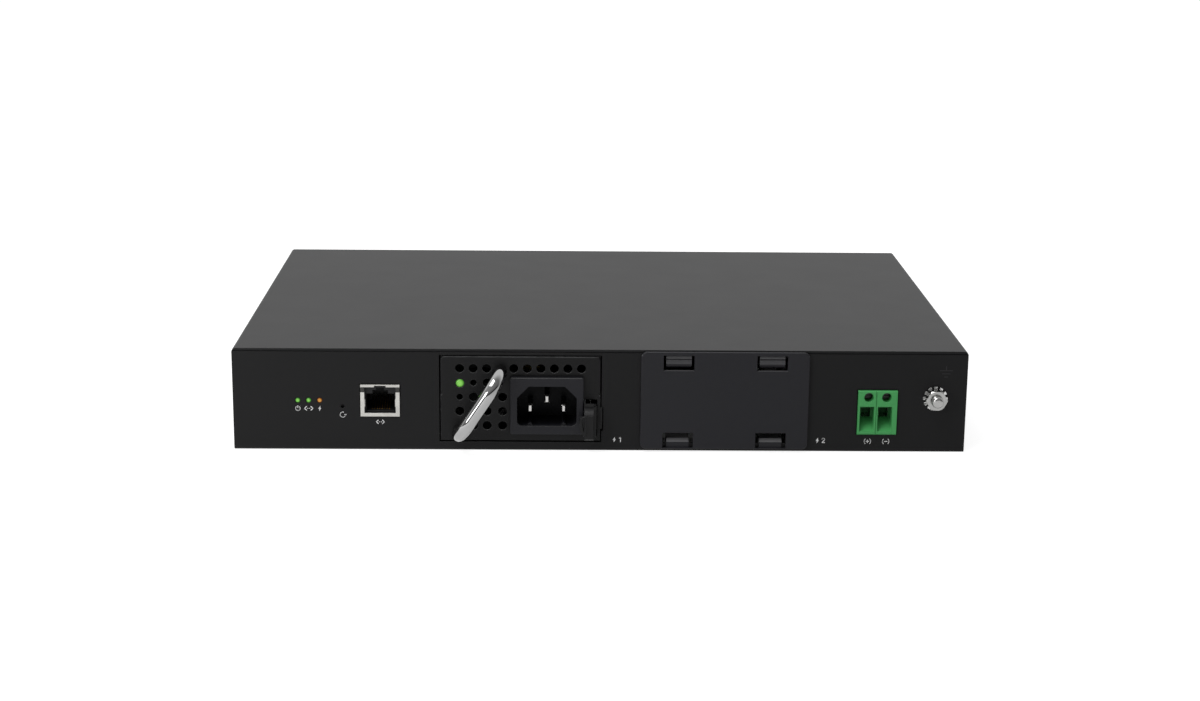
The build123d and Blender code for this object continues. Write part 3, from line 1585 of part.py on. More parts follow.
def transformer_winding():
    """The taped winding round the centre leg, bulging out of both windows."""
    gap = 0.15
    depth = transformer_depth - 2.0
    width = transformer_width - 2 * transformer_yoke - 2 * gap
    height = transformer_height - 2 * transformer_yoke - 2 * gap
    coil = RectangleRounded(width, depth, 5.0)
    coil -= Rectangle(transformer_leg + 2 * gap, transformer_core_depth + 2 * gap)
    winding = Pos(0, 0, -height / 2) * extrude(coil, height)
    return transformer_place() * Rot(90, 0, 0) * winding


def smoothing_capacitors():
    """Three small capacitors at the module's output."""
    radius = 4.0
    height = 18.0
    first_x = transformer_x + radius
    y = 0.873 * module_board_length
    return [capacitor(first_x + index * 2.4 * radius, y, radius, height) for index in range(3)]


# Module: fan
fan_size = 25.0
fan_depth = 10.0
fan_x = module_left + 16.2
fan_z = 22.5
fan_hole_spacing = 20.0
fan_bore_radius = 11.7
fan_blade_gap = 0.45
fan_hub_radius = 5.4
fan_screw_radius = 1.0
fan_plate_y = front_y + 8.0
fan_plate_thickness = 0.8
fan_front_y = fan_plate_y + fan_plate_thickness
fan_back_y = fan_front_y + fan_depth
fan_shaft_radius = 0.75
fan_bearing_radius = 1.6
fan_blades = 7
fan_blade_thickness = 0.8


def fan_corners():
    """X and Z of the fan's four screws."""
    half = fan_hole_spacing / 2
    return [(fan_x + i * half, fan_z + k * half) for i in (-1, 1) for k in (-1, 1)]


def fan_bracket():
    """A folded sheet with a round window that carries the fan from the floor."""
    half = fan_size / 2 + 1.0
    top = fan_z + half
    height = top - module_floor_top
    plate = Pos(fan_x, module_floor_top + height / 2) * Rectangle(2 * half, height)
    plate = fillet(plate.vertices().group_by(Axis.Y)[-1], 2.0)
    plate -= Pos(fan_x, fan_z) * Circle(fan_bore_radius)
    for x, z in fan_corners():
        plate -= Pos(x, z) * Circle(fan_screw_radius + thread_gap)
    bracket = from_front(plate, fan_plate_y, fan_front_y)
    return bracket + block(fan_x - half, fan_x + half, fan_plate_y, fan_plate_y + 12.0,
                           module_floor_top, module_floor_top + fan_plate_thickness)


def fan_frame():
    """The fan's square frame, its round duct and the bearing on three struts."""
    outline = Pos(fan_x, fan_z) * (RectangleRounded(fan_size, fan_size, 2.0)
                                   - Circle(fan_bore_radius))
    for x, z in fan_corners():
        outline -= Pos(x, z) * Circle(fan_screw_radius + thread_gap)
    frame = from_front(outline, fan_front_y, fan_back_y)
    strut_depth = 1.4
    strut_width = 1.6
    struts = Circle(fan_hub_radius)
    for index in range(3):
        angle = 90 + index * 120
        struts += Rot(0, 0, angle) * Pos(fan_bore_radius / 2, 0) * Rectangle(
            fan_bore_radius + 0.6, strut_width)
    frame += from_front(Pos(fan_x, fan_z) * struts, fan_back_y - strut_depth, fan_back_y)
    frame += rod_y(fan_x, fan_z, fan_bearing_radius, fan_back_y - 6.0, fan_back_y)
    return frame - rod_y(fan_x, fan_z, fan_shaft_radius + thread_gap,
                         fan_back_y - 7.0, fan_back_y - 0.6)


def fan_blade():
    """One twisted blade along +X, between the hub and the duct, spinning about Z."""
    sections = []
    root = fan_hub_radius - 0.4
    tip = fan_bore_radius - fan_blade_gap
    for radius, chord, pitch in ((root, 5.2, 52), ((root + tip) / 2, 6.4, 40), (tip, 7.0, 32)):
        plane = Plane(origin=(radius, 0, 0), x_dir=(0, 1, 0), z_dir=(1, 0, 0))
        sections.append(plane * Rot(0, 0, pitch) * Rectangle(chord, fan_blade_thickness))
    return loft(sections)


def fan_rotor():
    """The rotor: a cupped hub, seven twisted blades and the shaft."""
    hub_depth = 6.6
    wall = 0.9
    hub = Cylinder(fan_hub_radius, hub_depth)
    hub = fillet(hub.edges().filter_by(GeomType.CIRCLE).sort_by(Axis.Z)[-1], 0.8)
    hub -= Pos(0, 0, -wall) * Cylinder(fan_hub_radius - wall, hub_depth)
    for index in range(fan_blades):
        hub += Rot(0, 0, index * 360 / fan_blades) * fan_blade()
    hub -= Pos(0, 0, -wall) * Cylinder(fan_hub_radius - wall, hub_depth)
    shaft_length = 6.4
    hub += Pos(0, 0, hub_depth / 2 - wall / 2 - shaft_length / 2) * Cylinder(
        fan_shaft_radius, shaft_length)
    centre_y = fan_front_y + 0.9 + hub_depth / 2
    return Pos(fan_x, centre_y, fan_z) * Rot(90, 0, 0) * hub


def fan_screws():
    """Four screws through the bracket into the fan's corners."""
    screws = []
    for x, z in fan_corners():
        screw = pan_head_screw(fan_screw_radius, 1.9, 1.1, 6.0)
        screws.append(Pos(x, fan_plate_y, z) * Rot(90, 0, 0) * screw)
    return screws


def build():
    """Write every piece to its own file."""
    os.makedirs("parts", exist_ok=True)
    write("chassis_base", chassis_base())
    write("top_cover", top_cover())
    write("cover_screws", *cover_screws())
    write("ear_nuts", *ear_nuts())
    write("module_bay", bay_channel(bay_1_x, True))
    write("spare_bay", bay_channel(bay_2_x, False))
    write("bay_glides", *bay_glides())
    write("control_board", control_board())
    write("power_board", power_board())
    write("chassis_standoffs", *chassis_standoffs())
    write("chassis_board_screws", *chassis_board_screws())
    write("module_socket", module_socket(bay_1_x))
    write("spare_socket", module_socket(bay_2_x))
    write("output_capacitors", *output_capacitors())
    write("port_shield", port_shield())
    write("port_insert", port_insert())
    write("port_contacts", *port_contacts())
    write("led_holder", led_holder())
    write("power_led", status_led(led_x[0]))
    write("link_led", status_led(led_x[1]))
    write("supply_led", status_led(led_x[2]))
    write("reset_switch_body", reset_switch_body())
    write("reset_plunger", reset_plunger())
    write("terminal_header", terminal_header())
    write("header_pins", *header_pins())
    write("terminal_plug", terminal_plug())
    write("terminal_boxes", *terminal_boxes())
    write("terminal_screws", *terminal_screws())
    write("ground_stud", ground_stud())
    write("ground_washer", ground_washer())
    write("ground_nut", ground_nut())
    write("blank_cover", blank_cover())
    write("module_case", module_case())
    write("module_lid", module_lid())
    write("module_lid_screws", *module_lid_screws())
    write("module_handle", module_handle())
    write("handle_screws", *handle_screws())
    write("module_led", module_led())
    write("inlet_housing", inlet_housing())
    write("inlet_pins", *inlet_pins())
    write("latch_lever", latch_lever())
    write("latch_bracket", latch_bracket())
    write("latch_pin", latch_pin())
    write("latch_spring", latch_spring())
    write("module_board", module_board())
    write("module_standoffs", *module_standoffs())
    write("module_board_screws", *module_board_screws())
    write("emi_choke_core", emi_choke_core())
    write("emi_choke_windings", *emi_choke_windings())
    write("filter_capacitor", filter_capacitor())
    write("bulk_capacitors", *bulk_capacitors())
    write("heatsink", heatsink())
    write("power_transistors", *power_transistors())
    write("transformer_core", transformer_core())
    write("transformer_winding", transformer_winding())
    write("smoothing_capacitors", *smoothing_capacitors())
    write("fan_bracket", fan_bracket())
    write("fan_frame", fan_frame())
    write("fan_rotor", fan_rotor())
    write("fan_screws", *fan_screws())


build()
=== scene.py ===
import json
import math

import bmesh
import bpy
from mathutils import Matrix, Vector

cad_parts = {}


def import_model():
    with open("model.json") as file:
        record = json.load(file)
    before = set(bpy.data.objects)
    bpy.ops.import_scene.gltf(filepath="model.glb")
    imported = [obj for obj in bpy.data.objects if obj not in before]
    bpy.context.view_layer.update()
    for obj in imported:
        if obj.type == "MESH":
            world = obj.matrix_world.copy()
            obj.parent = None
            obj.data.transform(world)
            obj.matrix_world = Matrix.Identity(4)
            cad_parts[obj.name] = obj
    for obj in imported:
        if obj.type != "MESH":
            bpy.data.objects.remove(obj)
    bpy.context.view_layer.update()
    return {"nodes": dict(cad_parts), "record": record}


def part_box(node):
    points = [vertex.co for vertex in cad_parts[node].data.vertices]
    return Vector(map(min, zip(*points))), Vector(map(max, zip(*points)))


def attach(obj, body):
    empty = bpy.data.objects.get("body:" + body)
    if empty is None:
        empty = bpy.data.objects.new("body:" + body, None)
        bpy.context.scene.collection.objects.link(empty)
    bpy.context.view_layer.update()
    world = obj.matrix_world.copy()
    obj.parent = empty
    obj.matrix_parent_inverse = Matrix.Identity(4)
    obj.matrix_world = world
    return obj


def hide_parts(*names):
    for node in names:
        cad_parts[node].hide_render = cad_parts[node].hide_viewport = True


# The frame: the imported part, in metres, fixed in place
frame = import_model()
nodes = frame["nodes"]
mm = 0.001

# Limits that no part of the object reaches
far_forward = -1.0
far_up = 1.0

# Boxes of the pieces that the finishes and the marks are placed by
front_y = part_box("chassis_base")[0].y
led_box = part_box("supply_led")
stud_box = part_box("ground_stud")
plug_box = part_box("terminal_plug")
port_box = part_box("port_shield")

# Printed marks
ink_lift = 0.02 * mm
line_width = 0.3 * mm
lamp_mark_drop = 3.45 * mm
lamp_mark_size = 2.08 * mm
restart_mark_drop = 3.6 * mm
port_mark_drop = 2.45 * mm
port_mark_size = 1.88 * mm
bay_mark_z = 5.0 * mm
bay_1_mark_x = 7.3 * mm
bay_2_mark_x = 92.6 * mm
bay_bolt_size = 2.15 * mm
bay_figure_size = 2.0 * mm
pole_mark_drop = 3.1 * mm
pole_mark_size = 2.2 * mm
positive_mark_x = 112.2 * mm
negative_mark_x = 119.9 * mm
earth_mark_shift = 4.2 * mm
earth_mark_z = 35.0 * mm
earth_mark_size = 5.4 * mm

# Camera, solved from the corners of the object in the photograph
camera_place = (-0.01885, -0.9540, 0.2588)
camera_yaw = 1.23
camera_pitch = 14.19
camera_roll = 0.61
focal_pixels = 2119.0
image_width = 1200.0
sensor_width = 36.0

# Stage
floor_reach = 12.0
floor_drop = 0.1 * mm
floor_glow = 0.83
mirrored_floor_left = 0.89
mirrored_floor_right = 0.37
room_left = 0.46
room_right = 0.24
skirting_share = 0.22
fill_from_world = 0.40
key_power = 9.0
fill_power = 4.6


# Node building
def new_material(name):
    """A new material with its node tree and its principled shader."""
    material = bpy.data.materials.new(name)
    material.use_nodes = True
    tree = material.node_tree
    shader = tree.nodes["Principled BSDF"]
    return material, tree, shader


def add(tree, kind, **values):
    """A node with some settings, and values on the inputs that have the same names."""
    node = tree.nodes.new(kind)
    for key, value in values.items():
        if hasattr(node, key):
            setattr(node, key, value)
        else:
            node.inputs[key.replace("_", " ").title()].default_value = value
    return node


def place_texture(tree, stretch=(1, 1, 1)):
    """Object coordinates, stretched so that grain can run one way."""
    place = add(tree, "ShaderNodeTexCoord")
    mapping = add(tree, "ShaderNodeMapping")
    mapping.inputs["Scale"].default_value = stretch
    tree.links.new(place.outputs["Object"], mapping.inputs["Vector"])
    return mapping.outputs["Vector"]


def object_place(tree):
    """The outputs X, Y and Z of the place on the object, in metres."""
    place = add(tree, "ShaderNodeTexCoord")
    split = add(tree, "ShaderNodeSeparateXYZ")
    tree.links.new(place.outputs["Object"], split.inputs["Vector"])
    return split.outputs


def noise(tree, vector, scale, detail=3.0):
    """One noise texture's value."""
    node = add(tree, "ShaderNodeTexNoise", Scale=scale, Detail=detail, Roughness=0.55)
    tree.links.new(vector, node.inputs["Vector"])
    return node.outputs["Fac"]


def ramp(tree, value, low, high, start=0.3, end=0.7):
    """A colour ramp between two colours."""
    node = add(tree, "ShaderNodeValToRGB")
    node.color_ramp.elements[0].position = start
    node.color_ramp.elements[0].color = (*low, 1)
    node.color_ramp.elements[1].position = end
    node.color_ramp.elements[1].color = (*high, 1)
    tree.links.new(value, node.inputs["Fac"])
    return node.outputs["Color"]


def spread(tree, value, low, high, start=0.3, end=0.7):
    """A value mapped to a range."""
    node = add(tree, "ShaderNodeMapRange")
    for key, number in (("From Min", start), ("From Max", end), ("To Min", low), ("To Max", high)):
        node.inputs[key].default_value = number
    tree.links.new(value, node.inputs["Value"])
    return node.outputs["Result"]


def mix(tree, share, first, second):
    """Two colours mixed by a share."""
    node = add(tree, "ShaderNodeMix", data_type="RGBA")
    tree.links.new(share, node.inputs["Factor"])
    tree.links.new(first, node.inputs["A"])
    tree.links.new(second, node.inputs["B"])
    return node.outputs["Result"]


def rounded_normal(tree, radius):
    """A normal that rounds sharp edges so that they catch light."""
    node = add(tree, "ShaderNodeBevel", samples=4)
    node.inputs["Radius"].default_value = radius
    return node.outputs["Normal"]


def bump(tree, height, distance, strength, normal=None):
    """A bump map over an optional rounded normal."""
    node = add(tree, "ShaderNodeBump")
    node.inputs["Strength"].default_value = strength
    node.inputs["Distance"].default_value = distance
    tree.links.new(height, node.inputs["Height"])
    if normal is not None:
        tree.links.new(normal, node.inputs["Normal"])
    return node.outputs["Normal"]


def shade(color, factor):
    """A colour made lighter or darker."""
    return tuple(min(1.0, channel * factor) for channel in color)


def join(tree, operation, first, second):
    """Two values joined by one sum, product or comparison."""
    node = add(tree, "ShaderNodeMath", operation=operation)
    tree.links.new(first, node.inputs[0])
    tree.links.new(second, node.inputs[1])
    return node.outputs[0]


def wear_and_highlight_share(tree, radius, vector, patches):
    """1 on sharp edges that face up, a painted highlight; on patches of the others, wear; 0 on
    flats.
    """
    rounded = rounded_normal(tree, radius)
    geometry = add(tree, "ShaderNodeNewGeometry")
    dot = add(tree, "ShaderNodeVectorMath", operation="DOT_PRODUCT")
    tree.links.new(rounded, dot.inputs[0])
    tree.links.new(geometry.outputs["Normal"], dot.inputs[1])
    sharp = spread(tree, dot.outputs["Value"], 1.0, 0.0, 0.72, 0.96)
    split = add(tree, "ShaderNodeSeparateXYZ")
    tree.links.new(rounded, split.inputs["Vector"])
    upper = spread(tree, split.outputs["Z"], 0.0, 1.0, 0.15, 0.6)
    patchy = spread(tree, noise(tree, vector, 520.0), 0.0, patches, 0.48, 0.6)
    return join(tree, "MULTIPLY", sharp, join(tree, "MAXIMUM", upper, patchy))


def depth_share(tree, start, end):
    """0 in front of one depth and 1 behind another, along Y."""
    return spread(tree, object_place(tree)["Y"], 0.0, 1.0, start, end)


def between(tree, value, low, high):
    """1 where a value lies between two limits, else 0."""
    above = add(tree, "ShaderNodeMath", operation="GREATER_THAN")
    below = add(tree, "ShaderNodeMath", operation="LESS_THAN")
    above.inputs[1].default_value = low
    below.inputs[1].default_value = high
    tree.links.new(value, above.inputs[0])
    tree.links.new(value, below.inputs[0])
    return join(tree, "MULTIPLY", above.outputs[0], below.outputs[0])


def strip_share(tree, low_z, high_z, back_y):
    """1 between two heights and in front of a depth, else 0."""
    place = object_place(tree)
    level = between(tree, place["Z"], low_z, high_z)
    front = between(tree, place["Y"], far_forward, back_y)
    return join(tree, "MULTIPLY", level, front)


def upward_highlight_share(tree, low_z, high_z, back_y):
    """1 on faces that lean upwards between two heights and in front of a depth: a painted
    highlight.
    """
    geometry = add(tree, "ShaderNodeNewGeometry")
    facing = add(tree, "ShaderNodeSeparateXYZ")
    tree.links.new(geometry.outputs["True Normal"], facing.inputs["Vector"])
    leaning = spread(tree, facing.outputs["Z"], 0.0, 1.0, 0.2, 0.5)
    return join(tree, "MULTIPLY", leaning, strip_share(tree, low_z, high_z, back_y))


def highlight_strip_share(tree, low_z, high_z, back_y):
    """A level strip of a front face with a painted highlight that shows in patches."""
    place = add(tree, "ShaderNodeTexCoord")
    patchy = spread(tree, noise(tree, place.outputs["Object"], 240.0), 0.45, 1.0, 0.35, 0.55)
    return join(tree, "MULTIPLY", patchy, strip_share(tree, low_z, high_z, back_y))


# Finishes
def surface(name, color, roughness, metal=0.0, specular=0.5, grain=2500.0, grain_depth=0.03,
            grain_strength=0.3, uneven=0.12, stretch=(1, 1, 1), edge=0.25, wear_and_highlight=None,
            wear_and_highlight_reach=1.6, patches=0.0, rough_range=0.05, painted_shade_depths=None, upward_highlight=None,
            rim=None):
    """A finish with fine grain, broad unevenness and softly rounded edges.

    wear_and_highlight is the colour of the edges: a painted highlight on sharp edges that face up,
    and wear on patches of the others, with patches how much of those shows it. painted_shade_depths
    is the pair of depths between which the colour darkens, a painted shade. upward_highlight and
    rim each hold a colour, two heights and a depth: upward_highlight paints a highlight on the
    faces that lean upwards there, rim paints a highlight on all of them.
    """
    material, tree, shader = new_material(name)
    vector = place_texture(tree, stretch)
    fine = noise(tree, vector, grain)
    broad = noise(tree, vector, grain / 60.0, detail=4.0)
    tint = ramp(tree, broad, shade(color, 1 - uneven), shade(color, 1 + uneven))
    speck = ramp(tree, fine, shade(color, 1 - uneven), shade(color, 1 + uneven))
    share = spread(tree, broad, 0.35, 0.65)
    tinted = mix(tree, share, tint, speck)
    # Painted highlight on sharp edges that face up, and wear on patches of the other edges.
    if wear_and_highlight:
        rubbed_and_lit = ramp(tree, fine, shade(wear_and_highlight, 0.7), wear_and_highlight)
        share = wear_and_highlight_share(tree, edge * wear_and_highlight_reach * mm, vector, patches)
        tinted = mix(tree, share, tinted, rubbed_and_lit)
    # A painted highlight in patches on a level strip of the front face.
    if rim:
        bright, *strip = rim
        brightened = ramp(tree, fine, shade(bright, 0.8), bright)
        tinted = mix(tree, highlight_strip_share(tree, *strip), tinted, brightened)
    # A painted highlight on faces that lean upwards, as if lit from above.
    if upward_highlight:
        highlight_tone, *strip = upward_highlight
        highlighted = ramp(tree, fine, shade(highlight_tone, 0.85), highlight_tone)
        tinted = mix(tree, upward_highlight_share(tree, *strip), tinted, highlighted)
    shader.inputs["Specular IOR Level"].default_value = specular
    # Painted shade: colour and gloss darken between the two depths, deeper into recesses.
    if painted_shade_depths:
        inside = depth_share(tree, *painted_shade_depths)
        painted_shade = ramp(tree, fine, shade(color, 0.35), shade(color, 0.45))
        tinted = mix(tree, inside, tinted, painted_shade)
        tree.links.new(spread(tree, inside, specular, specular * 0.45, 0.0, 1.0),
                       shader.inputs["Specular IOR Level"])
    tree.links.new(tinted, shader.inputs["Base Color"])
    rough = spread(tree, broad, max(0.02, roughness - rough_range),
                   min(1.0, roughness + rough_range))
    tree.links.new(rough, shader.inputs["Roughness"])
    normal = rounded_normal(tree, edge * mm) if edge else None
    tree.links.new(bump(tree, fine, grain_depth * mm, grain_strength, normal),
                   shader.inputs["Normal"])
    shader.inputs["Metallic"].default_value = metal
    return material


def zinc_steel(name, color, roughness, dark_front_until=None, shade_strip=None):
    """Zinc-plated sheet: faint crystal flakes, fine rolling lines, a near-black front,
    and a strip of painted shade.
    """
    material, tree, shader = new_material(name)
    flakes = add(tree, "ShaderNodeTexVoronoi", Scale=260.0)
    tree.links.new(place_texture(tree), flakes.inputs["Vector"])
    lines = noise(tree, place_texture(tree, (1, 0.04, 1)), 3200.0)
    flake_tint = ramp(tree, flakes.outputs["Color"], shade(color, 0.88), shade(color, 1.1),
                      0.1, 0.9)
    line_tint = ramp(tree, lines, shade(color, 0.92), shade(color, 1.06))
    share = spread(tree, lines, 0.3, 0.7)
    plated = mix(tree, share, flake_tint, line_tint)
    shader.inputs["Metallic"].default_value = 1.0
    # Near black in front of a depth, plated metal behind it.
    if dark_front_until is not None:
        bare = depth_share(tree, dark_front_until - 2 * mm, dark_front_until)
        near_black = ramp(tree, lines, (0.003, 0.003, 0.003), (0.004, 0.004, 0.004))
        plated = mix(tree, bare, near_black, plated)
        tree.links.new(bare, shader.inputs["Metallic"])
    # A strip of painted shade.
    if shade_strip is not None:
        shade_tone = ramp(tree, lines, shade(color, 0.08), shade(color, 0.12))
        plated = mix(tree, strip_share(tree, *shade_strip), plated, shade_tone)
    tree.links.new(plated, shader.inputs["Base Color"])
    tree.links.new(spread(tree, lines, roughness - 0.07, roughness + 0.09),
                   shader.inputs["Roughness"])
    tree.links.new(bump(tree, lines, 0.01 * mm, 0.25, rounded_normal(tree, 0.15 * mm)),
                   shader.inputs["Normal"])
    return material


def circuit_board():
    """Green solder mask with straight copper runs and small solder pads."""
    material, tree, shader = new_material("board")
    runs = add(tree, "ShaderNodeTexBrick", Scale=110.0, squash=2.5, offset=0.37)
    runs.inputs["Mortar Size"].default_value = 0.05
    runs.inputs["Color1"].default_value = (0.008, 0.075, 0.022, 1)
    runs.inputs["Color2"].default_value = (0.010, 0.088, 0.028, 1)
    runs.inputs["Mortar"].default_value = (0.020, 0.150, 0.050, 1)
    vector = place_texture(tree)
    tree.links.new(vector, runs.inputs["Vector"])
    pads = add(tree, "ShaderNodeTexVoronoi", Scale=420.0)
    tree.links.new(vector, pads.inputs["Vector"])
    pad_share = spread(tree, pads.outputs["Distance"], 1.0, 0.0, 0.14, 0.17)
    silver = ramp(tree, noise(tree, vector, 900.0), (0.42, 0.42, 0.40), (0.62, 0.61, 0.58))
    tree.links.new(mix(tree, pad_share, runs.outputs["Color"], silver),
                   shader.inputs["Base Color"])
    tree.links.new(spread(tree, pads.outputs["Distance"], 0.25, 0.38), shader.inputs["Roughness"])
    tree.links.new(bump(tree, runs.outputs["Fac"], 0.03 * mm, 0.3), shader.inputs["Normal"])
    return material


def capacitor_can():
    """A dark shrink sleeve with a pale stripe, and a bare aluminium top."""
    material, tree, shader = new_material("can_sleeve")
    geometry = add(tree, "ShaderNodeNewGeometry")
    split = add(tree, "ShaderNodeSeparateXYZ")
    tree.links.new(geometry.outputs["Normal"], split.inputs["Vector"])
    top = spread(tree, split.outputs["Z"], 0.0, 1.0, 0.8, 0.95)
    stripe = spread(tree, split.outputs["X"], 0.0, 1.0, 0.82, 0.9)
    vector = place_texture(tree)
    grain = noise(tree, vector, 1500.0)
    sleeve = ramp(tree, grain, (0.010, 0.013, 0.030), (0.020, 0.024, 0.050))
    pale = ramp(tree, grain, (0.36, 0.37, 0.40), (0.46, 0.47, 0.50))
    bare = ramp(tree, grain, (0.55, 0.56, 0.57), (0.68, 0.69, 0.70))
    striped = mix(tree, stripe, sleeve, pale)
    tree.links.new(mix(tree, top, striped, bare), shader.inputs["Base Color"])
    tree.links.new(top, shader.inputs["Metallic"])
    tree.links.new(spread(tree, grain, 0.26, 0.36), shader.inputs["Roughness"])
    return material


def wound_wire(name, color, pitch):
    """Enamelled wire or tape laid turn by turn."""
    material, tree, shader = new_material(name)
    turns = add(tree, "ShaderNodeTexWave", Scale=1.0 / pitch / 6.283, Distortion=0.6)
    tree.links.new(place_texture(tree), turns.inputs["Vector"])
    tint = ramp(tree, turns.outputs["Fac"], shade(color, 0.55), shade(color, 1.1), 0.1, 0.8)
    tree.links.new(tint, shader.inputs["Base Color"])
    tree.links.new(spread(tree, turns.outputs["Fac"], 0.28, 0.42), shader.inputs["Roughness"])
    tree.links.new(bump(tree, turns.outputs["Fac"], 0.15 * mm, 0.6), shader.inputs["Normal"])
    return material


def lamp(name, core, rim, centre, radius, strength):
    """A lit lens: a pale core that deepens in colour towards its rim."""
    material, tree, shader = new_material(name)
    place = add(tree, "ShaderNodeTexCoord")
    offset = add(tree, "ShaderNodeVectorMath", operation="SUBTRACT")
    offset.inputs[1].default_value = centre
    tree.links.new(place.outputs["Object"], offset.inputs[0])
    distance = add(tree, "ShaderNodeVectorMath", operation="LENGTH")
    tree.links.new(offset.outputs["Vector"], distance.inputs[0])
    reach = distance.outputs["Value"]
    glow = ramp(tree, spread(tree, reach, 0.0, 1.0, 0.0, radius), core, rim, 0.25, 0.95)
    tree.links.new(glow, shader.inputs["Emission Color"])
    tree.links.new(glow, shader.inputs["Base Color"])
    tree.links.new(spread(tree, reach, strength, 0.0, radius * 1.3, radius * 1.8),
                   shader.inputs["Emission Strength"])
    shader.inputs["Roughness"].default_value = 0.25
    return material


def paints():
    """The powder coats of the chassis and of the module."""
    case_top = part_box("module_case")[1].z
    # A strip along the top edge of the module's front, given a painted highlight.
    highlight_band = (case_top - 0.45 * mm, case_top + mm, front_y + 0.5 * mm)
    return {
        "chassis_paint": surface("chassis_paint", (0.0082, 0.0082, 0.0087), 0.47, specular=0.195,
                                 grain=3000, grain_depth=0.02, grain_strength=0.35, uneven=0.06,
                                 # The chassis edges that face up get a painted highlight.
                                 edge=0.35, wear_and_highlight=(0.05, 0.05, 0.051), rough_range=0.008),
        "module_paint": surface("module_paint", (0.007, 0.007, 0.0074), 0.40, specular=0.19,
                                grain=3600, grain_depth=0.012, uneven=0.06, edge=0.3,
                                # The module's edges: a painted highlight where they face up, wear
                                # on patches of the others.
                                wear_and_highlight=(0.14, 0.14, 0.143), wear_and_highlight_reach=2.4, patches=0.4,
                                rough_range=0.02, rim=((0.058, 0.058, 0.059), *highlight_band)),
    }


def metals():
    """Plated sheet, pins, screws, chrome and aluminium."""
    pin_tip_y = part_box("inlet_pins")[0].y
    stud_tip_y = stud_box[0].y
    port_top_z = port_box[1].z
    # A strip below the port's top, at its front, that gets a painted shade.
    port_corners = (port_top_z - 3.3 * mm, port_top_z - 1.1 * mm, port_box[0].y + 0.6 * mm)
    return {
        # The bay's first 12 to 14 mm behind the front are near black.
        "bay_steel": zinc_steel("bay_steel", (0.40, 0.41, 0.42), 0.36, front_y + 14 * mm),
        "plated_steel": zinc_steel("plated_steel", (0.50, 0.50, 0.49), 0.20),
        "port_metal": zinc_steel("port_metal", (0.575, 0.565, 0.535), 0.32,
                                 shade_strip=port_corners),
        # The stud darkens behind its domed tip, a painted shade.
        "thread_steel": surface("thread_steel", (0.52, 0.52, 0.51), 0.22, metal=1.0, grain=2600,
                                painted_shade_depths=(stud_tip_y + 0.5 * mm, stud_tip_y + 2.2 * mm)),
        # The pins darken behind their tips, a painted shade.
        "pin_tin": surface("pin_tin", (0.60, 0.59, 0.575), 0.16, metal=1.0, grain=2600,
                           painted_shade_depths=(pin_tip_y + 0.1 * mm, pin_tip_y + 1.1 * mm)),
        "washer_steel": zinc_steel("washer_steel", (0.80, 0.80, 0.79), 0.24),
        "pin_metal": zinc_steel("pin_metal", (0.52, 0.51, 0.50), 0.24),
        "contact_gold": surface("contact_gold", (0.35, 0.21, 0.07), 0.30, metal=1.0, grain=4000),
        "handle_chrome": surface("handle_chrome", (0.43, 0.43, 0.43), 0.08, metal=1.0,
                                 grain=1800, grain_depth=0.006, grain_strength=0.15, uneven=0.03,
                                 edge=0.0, rough_range=0.02),
        "sink_aluminium": surface("sink_aluminium", (0.60, 0.61, 0.62), 0.34, metal=1.0,
                                  stretch=(1, 0.05, 1), edge=0.2),
        "screw_steel": zinc_steel("screw_steel", (0.10, 0.10, 0.098), 0.38),
    }


def plastics():
    """The moulded pieces."""
    inlet_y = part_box("inlet_housing")[0].y
    plug_y = plug_box[0].y
    cover_low, cover_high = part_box("blank_cover")
    finger_ledges = (cover_low.z + 1.2 * mm, cover_high.z - 1.2 * mm, front_y + 1.0 * mm)
    return {
        "glide_plastic": surface("glide_plastic", (0.008, 0.008, 0.008), 0.55, specular=0.2,
                                 grain=4200),
        "socket_plastic": surface("socket_plastic", (0.009, 0.009, 0.010), 0.45, specular=0.3,
                                  grain=4200),
        "terminal_green": surface("terminal_green", (0.066, 0.36, 0.105), 0.42, specular=0.35,
                                  grain=2600, grain_depth=0.015, uneven=0.07, edge=0.3,
                                  # The plug's edges that face up get a painted highlight.
                                  wear_and_highlight=(0.14, 0.50, 0.19),
                                  # The plug darkens inside its windows, a painted shade.
                                  painted_shade_depths=(plug_y + 0.8 * mm, plug_y + 8.5 * mm)),
        "blank_plastic": surface("blank_plastic", (0.0118, 0.0118, 0.0152), 0.47, specular=0.30,
                                 grain=3800, grain_depth=0.03, grain_strength=0.4, uneven=0.06,
                                 edge=0.18, rough_range=0.02,
                                 # The finger ledges in the windows get a painted highlight.
                                 upward_highlight=((0.12, 0.12, 0.125), *finger_ledges)),
        "inlet_plastic": surface("inlet_plastic", (0.0110, 0.0110, 0.0145), 0.42, specular=0.27,
                                 # The inlet's edges that face up get a painted highlight.
                                 grain=4200, uneven=0.06, edge=0.3, wear_and_highlight=(0.05, 0.05, 0.052),
                                 # The inlet darkens into its cavity, a painted shade.
                                 painted_shade_depths=(inlet_y + 0.5 * mm, inlet_y + 5.0 * mm),
                                 # Faces that lean upwards at the inlet's front get a painted
                                 # highlight.
                                 upward_highlight=((0.05, 0.05, 0.052), 0.0, far_up, inlet_y + 0.8 * mm)),
        "latch_plastic": surface("latch_plastic", (0.0045, 0.0045, 0.005), 0.30, specular=0.26,
                                 grain=4200, edge=0.3,
                                 # The latch's faces that lean upwards get a painted highlight.
                                 upward_highlight=((0.03, 0.03, 0.031), 0.0, far_up, front_y)),
    }


def board_parts():
    """The boards and what is wound or sleeved on them."""
    return {
        "board": circuit_board(),
        "can_sleeve": capacitor_can(),
        "copper": wound_wire("copper", (0.62, 0.28, 0.12), 0.9 * mm),
        "winding_tape": wound_wire("winding_tape", (0.40, 0.29, 0.04), 4.0 * mm),
    }


